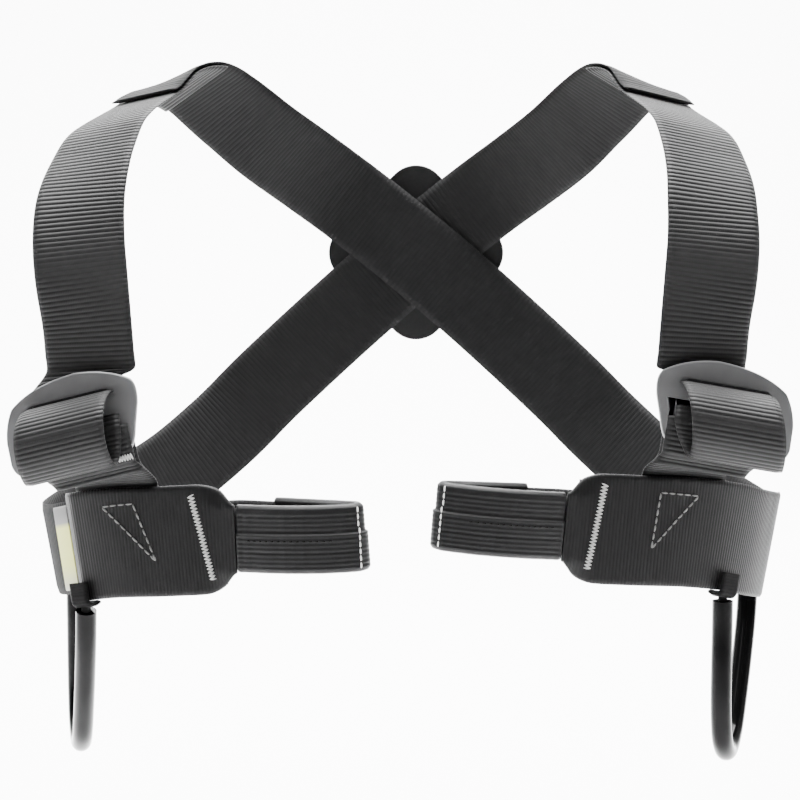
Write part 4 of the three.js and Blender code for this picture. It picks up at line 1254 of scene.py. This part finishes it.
def gear_places(side):
    """The places of a gear loop's two tabs on the belt's lower edge, each with its end of the tube."""
    places = []
    for name, distance, low, face in (
        ("front", side["gear_front"], PATCH_HEIGHT / 2, LAYER + 2 * CLEAR + WEB_THICK / 2 + PATCH_THICK),
        ("rear", GEAR_REAR, WEB_WIDTH / 2, WEB_THICK / 2),
    ):
        edge, along, across, out = side["belt"].pick(distance, 0, -low)
        knob = edge + out * (face + TAB_SEAT + TAB_THICK - KNOB_DEPTH / 2)
        places.append(dict(name=name, edge=edge, along=along, across=across, out=out, face=face, knob=knob))
    return places


def gear_points(side):
    """The few points that a gear loop's tube runs through, from its front tab to its rear one."""
    down = np.array([0, 0, -1.0])
    front, rear = (p["knob"] + down * (KNOB_DROP + CLEAR + TUBE_MOUTH) for p in gear_places(side))
    rows = GEAR_ROWS if side["gear_lean"] > 0 else [(1 - across, low) for across, low in GEAR_ROWS[::-1]]
    deep = GEAR_DROP + front[2] - max(front[2], rear[2])
    return np.array([front + (rear - front) * across + down * deep * low for across, low in rows])


def round_cord(name, points, radius, sides):
    """A round cord or tube along points, from a curve with bevel depth."""
    curve = drawn_lines(name, "3D", "FULL", [points], False)
    curve.bevel_depth = radius
    curve.bevel_resolution = sides
    curve.use_fill_caps = True
    curve.twist_mode = "MINIMUM"
    return curve_to_mesh(0.00001, 50)


class HARNESS_OT_gear_loops(bpy.types.Operator):
    """Glossy tubes over a cord, hung from tabs on the belt"""

    bl_idname = "harness.gear_loops"
    bl_label = "Gear Loops"

    def execute(self, context):
        colours = context.scene.harness_colours
        cord_cloth = plain_cloth_material("CordCloth", tone(colours.webbing, 0.5), 0.75, 1800.0)
        gloss = tube_material("GlossyTube", tuple(colours.tube))
        for side in SIDES:
            points = gear_points(side)
            way = spline(points, 10)
            piece = round_cord("gear_tube_" + side["name"] + "_tube", way, TUBE_WIDTH / 2, 10)
            finish_piece(piece, gloss, "tube_plastic", "gear_tube_" + side["name"])
            up = np.array([0, 0, KNOB_DROP * 0.7 + CLEAR + TUBE_MOUTH])
            for end, name in ((0, "front"), (-1, "rear")):
                stub = np.linspace(points[end] - up * 0.2, points[end] + up, 6)
                cord = round_cord("gear_cord_%s_%s" % (side["name"], name), stub, CORD_WIDTH / 2, 6)
                finish_piece(cord, cord_cloth, "cord_and_tabs", "gear_cord_" + side["name"])
        return {"FINISHED"}


class HARNESS_OT_gear_tabs(bpy.types.Operator):
    """Folded tabs of narrow tape that hold the ends of the gear loops"""

    bl_idname = "harness.gear_tabs"
    bl_label = "Gear Tabs"

    def execute(self, context):
        colours = context.scene.harness_colours
        # The tape's grooves are painted darker than its ribs, as shade between them.
        tape = webbing_material(
            "TabTape", tone(colours.webbing, 0.3), tone(colours.groove, 0.5), TAB_RIB_PITCH, 0.0008,
            roughness=0.8, gloss=0.06,
        )
        for side in SIDES:
            for place in gear_places(side):
                self.tab(side, place, tape)
        return {"FINISHED"}

    def tab(self, side, place, tape):
        """One tab, whose outline runs down the outside and under the belt's edge."""
        face = place["face"] + TAB_SEAT
        outline = [
            (face + TAB_THICK * 0.5, TAB_RISE * 0.8), (face + TAB_THICK * 0.5, TAB_RISE * 0.45),
            (face + TAB_THICK * 0.55, 0), (face + TAB_THICK * 0.2, -KNOB_DROP * 0.7),
            (face - KNOB_DEPTH * 0.3, -KNOB_DROP * 0.95),
            (face + TAB_THICK - KNOB_DEPTH * 0.93, -KNOB_DROP * 0.6),
        ]
        middle = spline(np.array(outline), 6)
        rows = np.array([place["edge"] + place["out"] * o + place["across"] * a for o, a in middle])
        sideways = unit(np.cross(place["out"], place["across"]))
        sheet = Sheet(straight_rows(rows, np.broadcast_to(sideways, rows.shape), TAB_WIDTH, 3), 0.0004, 11)
        name = "gear_tab_%s_%s" % (place["name"], side["name"])
        piece = band(name + "_tape", sheet, TAB_THICK * 0.92, TAB_RIB_PITCH, 0.0001, TAB_SELVEDGE)
        finish_piece(piece, tape, "cord_and_tabs", name)


class HARNESS_OT_label(bpy.types.Operator):
    """A plain cloth label on the left flank, behind the patch"""

    bl_idname = "harness.label"
    bl_label = "Label"

    def execute(self, context):
        side = LEFT
        lift = WEB_THICK / 2 + CLEAR + LABEL_THICK / 2
        rows = []
        for back in np.linspace(LABEL_START, LABEL_START + LABEL_SHOWN, 8):
            at, _, across, _ = side["belt"].pick(side["patch_length"] + back, lift)
            rows.append(at + np.outer(np.linspace(-0.5, 0.5, 5) * LABEL_HEIGHT, across))
        sheet = Sheet(np.array(rows), 0.0006, 41)
        piece = band("label_cloth", sheet, LABEL_THICK, selvedge=LABEL_SELVEDGE)
        finish_piece(piece, self.cloth(context), "label_cloth", "label")
        return {"FINISHED"}

    def cloth(self, context):
        colour = tuple(context.scene.harness_colours.label)
        material, tree, shader = new_material("LabelCloth", 0.7, Sheen_Weight=0.1)
        uv = tree.nodes.new("ShaderNodeUVMap")
        parts = tree.nodes.new("ShaderNodeSeparateXYZ")
        tree.links.new(uv.outputs[0], parts.inputs[0])
        height = math_node(tree, "MULTIPLY_ADD", parts.outputs[0], 1 / LABEL_HEIGHT, 0.5)
        ramp = tree.nodes.new("ShaderNodeValToRGB")
        ramp.color_ramp.interpolation = "LINEAR"
        stops = [
            (0.0, (0.34, 0.34, 0.3, 1)), (0.3, colour), (0.74, colour), (0.8, (0.16, 0.16, 0.16, 1)),
            (0.9, (0.1, 0.1, 0.105, 1)),
        ]
        while len(ramp.color_ramp.elements) < len(stops):
            ramp.color_ramp.elements.new(0.5)
        for element, (position, value) in zip(ramp.color_ramp.elements, stops):
            element.position = position
            element.color = value
        tree.links.new(height, ramp.inputs[0])
        grain = grouped(tree, grain_group(), Scale=1600.0, Amount=0.8)
        varied_tone = math_node(tree, "MULTIPLY", grain.outputs["Grain"], 0.25)
        shade = mixed_colour(tree, varied_tone, ramp.outputs[0], (0.2, 0.2, 0.16, 1))
        tree.links.new(shade, shader.inputs["Base Color"])
        bumped(tree, shader, grain.outputs["Grain"], 0.3, 0.0002)
        return material


# Stitching

def stitch_form():
    """One stitch as unit-long points along X and its faces, from a small sphere."""
    clear_selection()
    bpy.ops.mesh.primitive_uv_sphere_add(segments=6, ring_count=5, radius=0.5)
    form = bpy.context.object
    bpy.ops.object.mode_set(mode="EDIT")
    bpy.ops.mesh.select_all(action="SELECT")
    bpy.ops.mesh.quads_convert_to_tris()
    bpy.ops.object.mode_set(mode="OBJECT")
    points = np.array([v.co[:] for v in form.data.vertices])[:, [2, 0, 1]]
    faces = np.array([p.vertices[:] for p in form.data.polygons])
    bpy.data.objects.remove(form)
    return points, faces


def stitches(name, spots, width, material, sink=0.15):
    """Joined stitches, each from one place to another on a surface: spots hold start, end and normal."""
    form, faces = stitch_form()
    points, made = [], []
    for start, end, normal in spots:
        along = end - start
        long = np.linalg.norm(along)
        x = along / long
        reach = long + width * 0.6
        z = unit(normal - x * np.dot(normal, x))
        y = np.cross(z, x)
        centre = (start + end) / 2 + z * width * (0.5 - sink)
        arch = z * (form[:, :1] ** 2) * -width * 1.2
        body = form[:, :1] * x * reach + form[:, 1:2] * y * width + form[:, 2:3] * z * width * 0.9
        made.append(faces + len(form) * len(points))
        points.append(centre + body + arch)
    piece = mesh_piece(name, np.concatenate(points), np.concatenate(made))
    return outward(finish_piece(piece, material, "webbing"))


def seam(sheet, corners, pitch, thickness, fill=0.72):
    """Stitches along a polyline of (u, v) places on a sheet's outer face."""
    spots = []
    for (u0, v0), (u1, v1) in zip(corners, corners[1:]):
        length = math.hypot(u1 - u0, v1 - v0)
        count = max(int(round(length / pitch)), 1)
        for k in range(count):
            ends = []
            for t in ((k + 0.5 - fill / 2) / count, (k + 0.5 + fill / 2) / count):
                at, normal = sheet.spot(u0 + (u1 - u0) * t, v0 + (v1 - v0) * t)
                ends.append(at + normal * thickness / 2)
            spots.append((ends[0], ends[1], normal))
    return spots


def bar_tack(sheet, start, end, width, count, thickness):
    """A dense zigzag between two (u, v) places, as a bar tack is sewn."""
    (u0, v0), (u1, v1) = start, end
    length = math.hypot(u1 - u0, v1 - v0)
    side_u, side_v = -(v1 - v0) / length * width / 2, (u1 - u0) / length * width / 2
    places = []
    for k in range(count + 1):
        t = k / count
        turn = 1 if k % 2 else -1
        at, normal = sheet.spot(u0 + (u1 - u0) * t + side_u * turn, v0 + (v1 - v0) * t + side_v * turn)
        places.append((at + normal * thickness / 2, normal))
    return [(a, b, n) for (a, n), (b, _) in zip(places, places[1:])]


# Places of the stitching on each side's patch: u across it from its middle, v along it from its rear end
PATCH_SEWING = {
    "left": dict(
        triangle=[(0.0185, 0.0275), (0.0195, 0.0445), (-0.0095, 0.0545)],
        tack=[(0.0225, 0.0755), (-0.0205, 0.0835)],
    ),
    "right": dict(
        triangle=[(0.0195, 0.102), (0.0185, 0.081), (-0.0085, 0.1045)],
        tack=[(0.0225, 0.1315), (-0.0205, 0.137)],
    ),
}


class HARNESS_OT_stitching(bpy.types.Operator):
    """Triangles and bar tacks on the patches, seams of the sleeves and tacks on the straps"""

    bl_idname = "harness.stitching"
    bl_label = "Stitching"

    def execute(self, context):
        sizes, colours = context.scene.harness_sizes, context.scene.harness_colours
        light = thread_material("ThreadLight", tuple(colours.thread))
        dim = thread_material("ThreadDim", tone(colours.thread, 0.42))
        pale = thread_material("ThreadPale", tone(colours.thread, 1.7))
        dark = thread_material("ThreadDark", tone(colours.groove, 0.5))
        width = sizes.thread_width
        for side in SIDES:
            name = side["name"]
            sewing = PATCH_SEWING[name]
            corners = sewing["triangle"] + sewing["triangle"][:1]
            spots = seam(side["patch"], corners, sizes.stitch_length, PATCH_THICK)
            stitches("patch_triangle_" + name, spots, width, dim)
            start, end = sewing["tack"]
            spots = bar_tack(side["patch"], start, end, TACK_WIDTH, TACK_TURNS, PATCH_THICK)
            stitches("patch_tack_" + name, spots, width * 0.9, light)
            self.sleeve_seams(side, width, dark, pale)
        self.buckle_tack(LEFT, width, light)
        return {"FINISHED"}

    def buckle_tack(self, side, width, light):
        """A short zigzag on the folded end of the lower strap, beside the roll."""
        at, inner, up, face = buckle_frame(side)
        surface = ON_PLATE * 0.95 + WEB_THICK / 2 + width * 0.2
        places = []
        for k, x in enumerate(np.linspace(*BUCKLE_TACK_ENDS, BUCKLE_TACK_TURNS)):
            rise = BUCKLE_TACK_RISE + BUCKLE_TACK_HALF * (1 if k % 2 else -1)
            places.append(at + inner * x + up * (-BUCKLE_FOOT + rise) + face * surface)
        stitches("buckle_tack", [(a, b, face) for a, b in zip(places, places[1:])], width * 0.9, light)

    def sleeve_seams(self, side, width, dark, pale):
        """A row of dark stitches along the sleeve's lap, and a row of pale ones across its tip."""
        at, across, out = side["sleeve"]
        tip = int(np.argmax(ahead_of_belt(side, at)))
        half_out = WEB_THICK / 2 + 2 * CLEAR + SLEEVE_WALL
        seam_low = SLEEVE_SEAM - 0.003
        spots = []
        for i in range(4, int(tip * 0.8), 2):
            ends = [
                at[k] + across[k] * seam_low + out[k] * (half_out + SEAM_LIFT) for k in (i, i + 1)
            ]
            spots.append((ends[0], ends[1], out[i]))
        stitches("sleeve_seam_" + side["name"], spots, width * 0.8, dark)
        i = int(tip * 0.965)
        half = LOOP_WIDTH / 2 + 2 * CLEAR
        spots = []
        for s in np.arange(-half + 0.001, half - 0.001, TIP_PITCH):
            lap = TIP_LIFT if s < SLEEVE_SEAM else 0
            a, b = (at[i] + across[i] * x + out[i] * (half_out + lap) for x in (s, s + TIP_STITCH))
            spots.append((a, b, out[i]))
        stitches("sleeve_tip_" + side["name"], spots, width * 0.9, pale)


# Stage

class HARNESS_OT_stage(bpy.types.Operator):
    """Pale floor with a curved backdrop, soft lights and the camera"""

    bl_idname = "harness.stage"
    bl_label = "Stage"

    def execute(self, context):
        self.backdrop()
        self.lights()
        self.camera()
        return {"FINISHED"}

    def backdrop(self):
        floor, back, turn, wide = -0.62, 2.4, 0.9, 7.0
        profile = [(-6.0, floor), (back - turn, floor)]
        for a in np.radians(np.linspace(-90, 0, 13))[1:]:
            profile.append((back - turn + turn * math.cos(a), floor + turn + turn * math.sin(a)))
        profile.append((back, 5.0))
        points = np.array([(x, y, z) for y, z in profile for x in (-wide, wide)])
        faces = np.array([(2 * i, 2 * i + 1, 2 * i + 3, 2 * i + 2) for i in range(len(profile) - 1)])
        piece = mesh_piece("backdrop", points, faces)
        material, _, shader = new_material("PaleBackdrop", 0.9)
        shader.inputs["Base Color"].default_value = (0.9, 0.9, 0.9, 1)
        piece.data.materials.append(material)

    def lights(self):
        world = bpy.data.worlds.new("Studio")
        world.use_nodes = True
        sky = world.node_tree.nodes["Background"]
        sky.inputs["Color"].default_value = (1, 1, 1, 1)
        sky.inputs["Strength"].default_value = 0.16
        bpy.context.scene.world = world
        aim = Vector((0, 0, -0.17))
        for name, place, size, power in (
            ("key", (-0.6, -1.5, 2.0), 1.2, 18),
            ("left", (-2.0, 0.2, 0.5), 1.2, 7),
            ("right", (2.0, 0.2, 0.5), 1.2, 5),
            ("top", (0, 0.3, 1.9), 1.6, 24),
            ("backdrop", (0, 0.9, 2.4), 2.6, 1250),
        ):
            light = bpy.data.lights.new(name, "AREA")
            light.shape = "SQUARE"
            light.size = size
            light.energy = power
            lamp = bpy.data.objects.new(name, light)
            bpy.context.scene.collection.objects.link(lamp)
            lamp.location = place
            target = aim if name != "backdrop" else Vector((0, 2.4, 0))
            lamp.rotation_euler = (target - lamp.location).to_track_quat("-Z", "Y").to_euler()

    def camera(self):
        data = bpy.data.cameras.new("camera")
        data.lens = CAMERA_LENS
        data.sensor_width = CAMERA_SENSOR
        camera = bpy.data.objects.new("camera", data)
        bpy.context.scene.collection.objects.link(camera)
        camera.location = CAMERA_PLACE
        camera.rotation_euler = (math.radians(90 - CAMERA_PITCH), 0, 0)
        bpy.context.scene.camera = camera


class HARNESS_PT_panel(bpy.types.Panel):
    """Lists the harness's pieces and its stage"""

    bl_idname = "HARNESS_PT_panel"
    bl_label = "Chest Harness"
    bl_space_type = "VIEW_3D"
    bl_region_type = "UI"
    bl_category = "Harness"

    def draw(self, context):
        for settings in (context.scene.harness_sizes, context.scene.harness_colours):
            column = self.layout.column(align=True)
            for name in settings.__annotations__:
                column.prop(settings, name)
        for operator in OPERATORS:
            self.layout.operator(operator.bl_idname)


OPERATORS = (
    HARNESS_OT_stage,
    HARNESS_OT_back_straps,
    HARNESS_OT_back_plate,
    HARNESS_OT_shoulder_straps,
    HARNESS_OT_buckles,
    HARNESS_OT_lower_straps,
    HARNESS_OT_side_patches,
    HARNESS_OT_front_loops,
    HARNESS_OT_gear_loops,
    HARNESS_OT_gear_tabs,
    HARNESS_OT_label,
    HARNESS_OT_stitching,
)
CLASSES = (HarnessSizes, HarnessColours, *OPERATORS, HARNESS_PT_panel)


def register():
    for cls in CLASSES:
        bpy.utils.register_class(cls)
    bpy.types.Scene.harness_sizes = bpy.props.PointerProperty(type=HarnessSizes)
    bpy.types.Scene.harness_colours = bpy.props.PointerProperty(type=HarnessColours)


def unregister():
    del bpy.types.Scene.harness_colours
    del bpy.types.Scene.harness_sizes
    for cls in reversed(CLASSES):
        bpy.utils.unregister_class(cls)


def main():
    register()
    for operator in OPERATORS:
        group, name = operator.bl_idname.split(".")
        getattr(getattr(bpy.ops, group), name)()


if __name__ == "__main__":
    main()
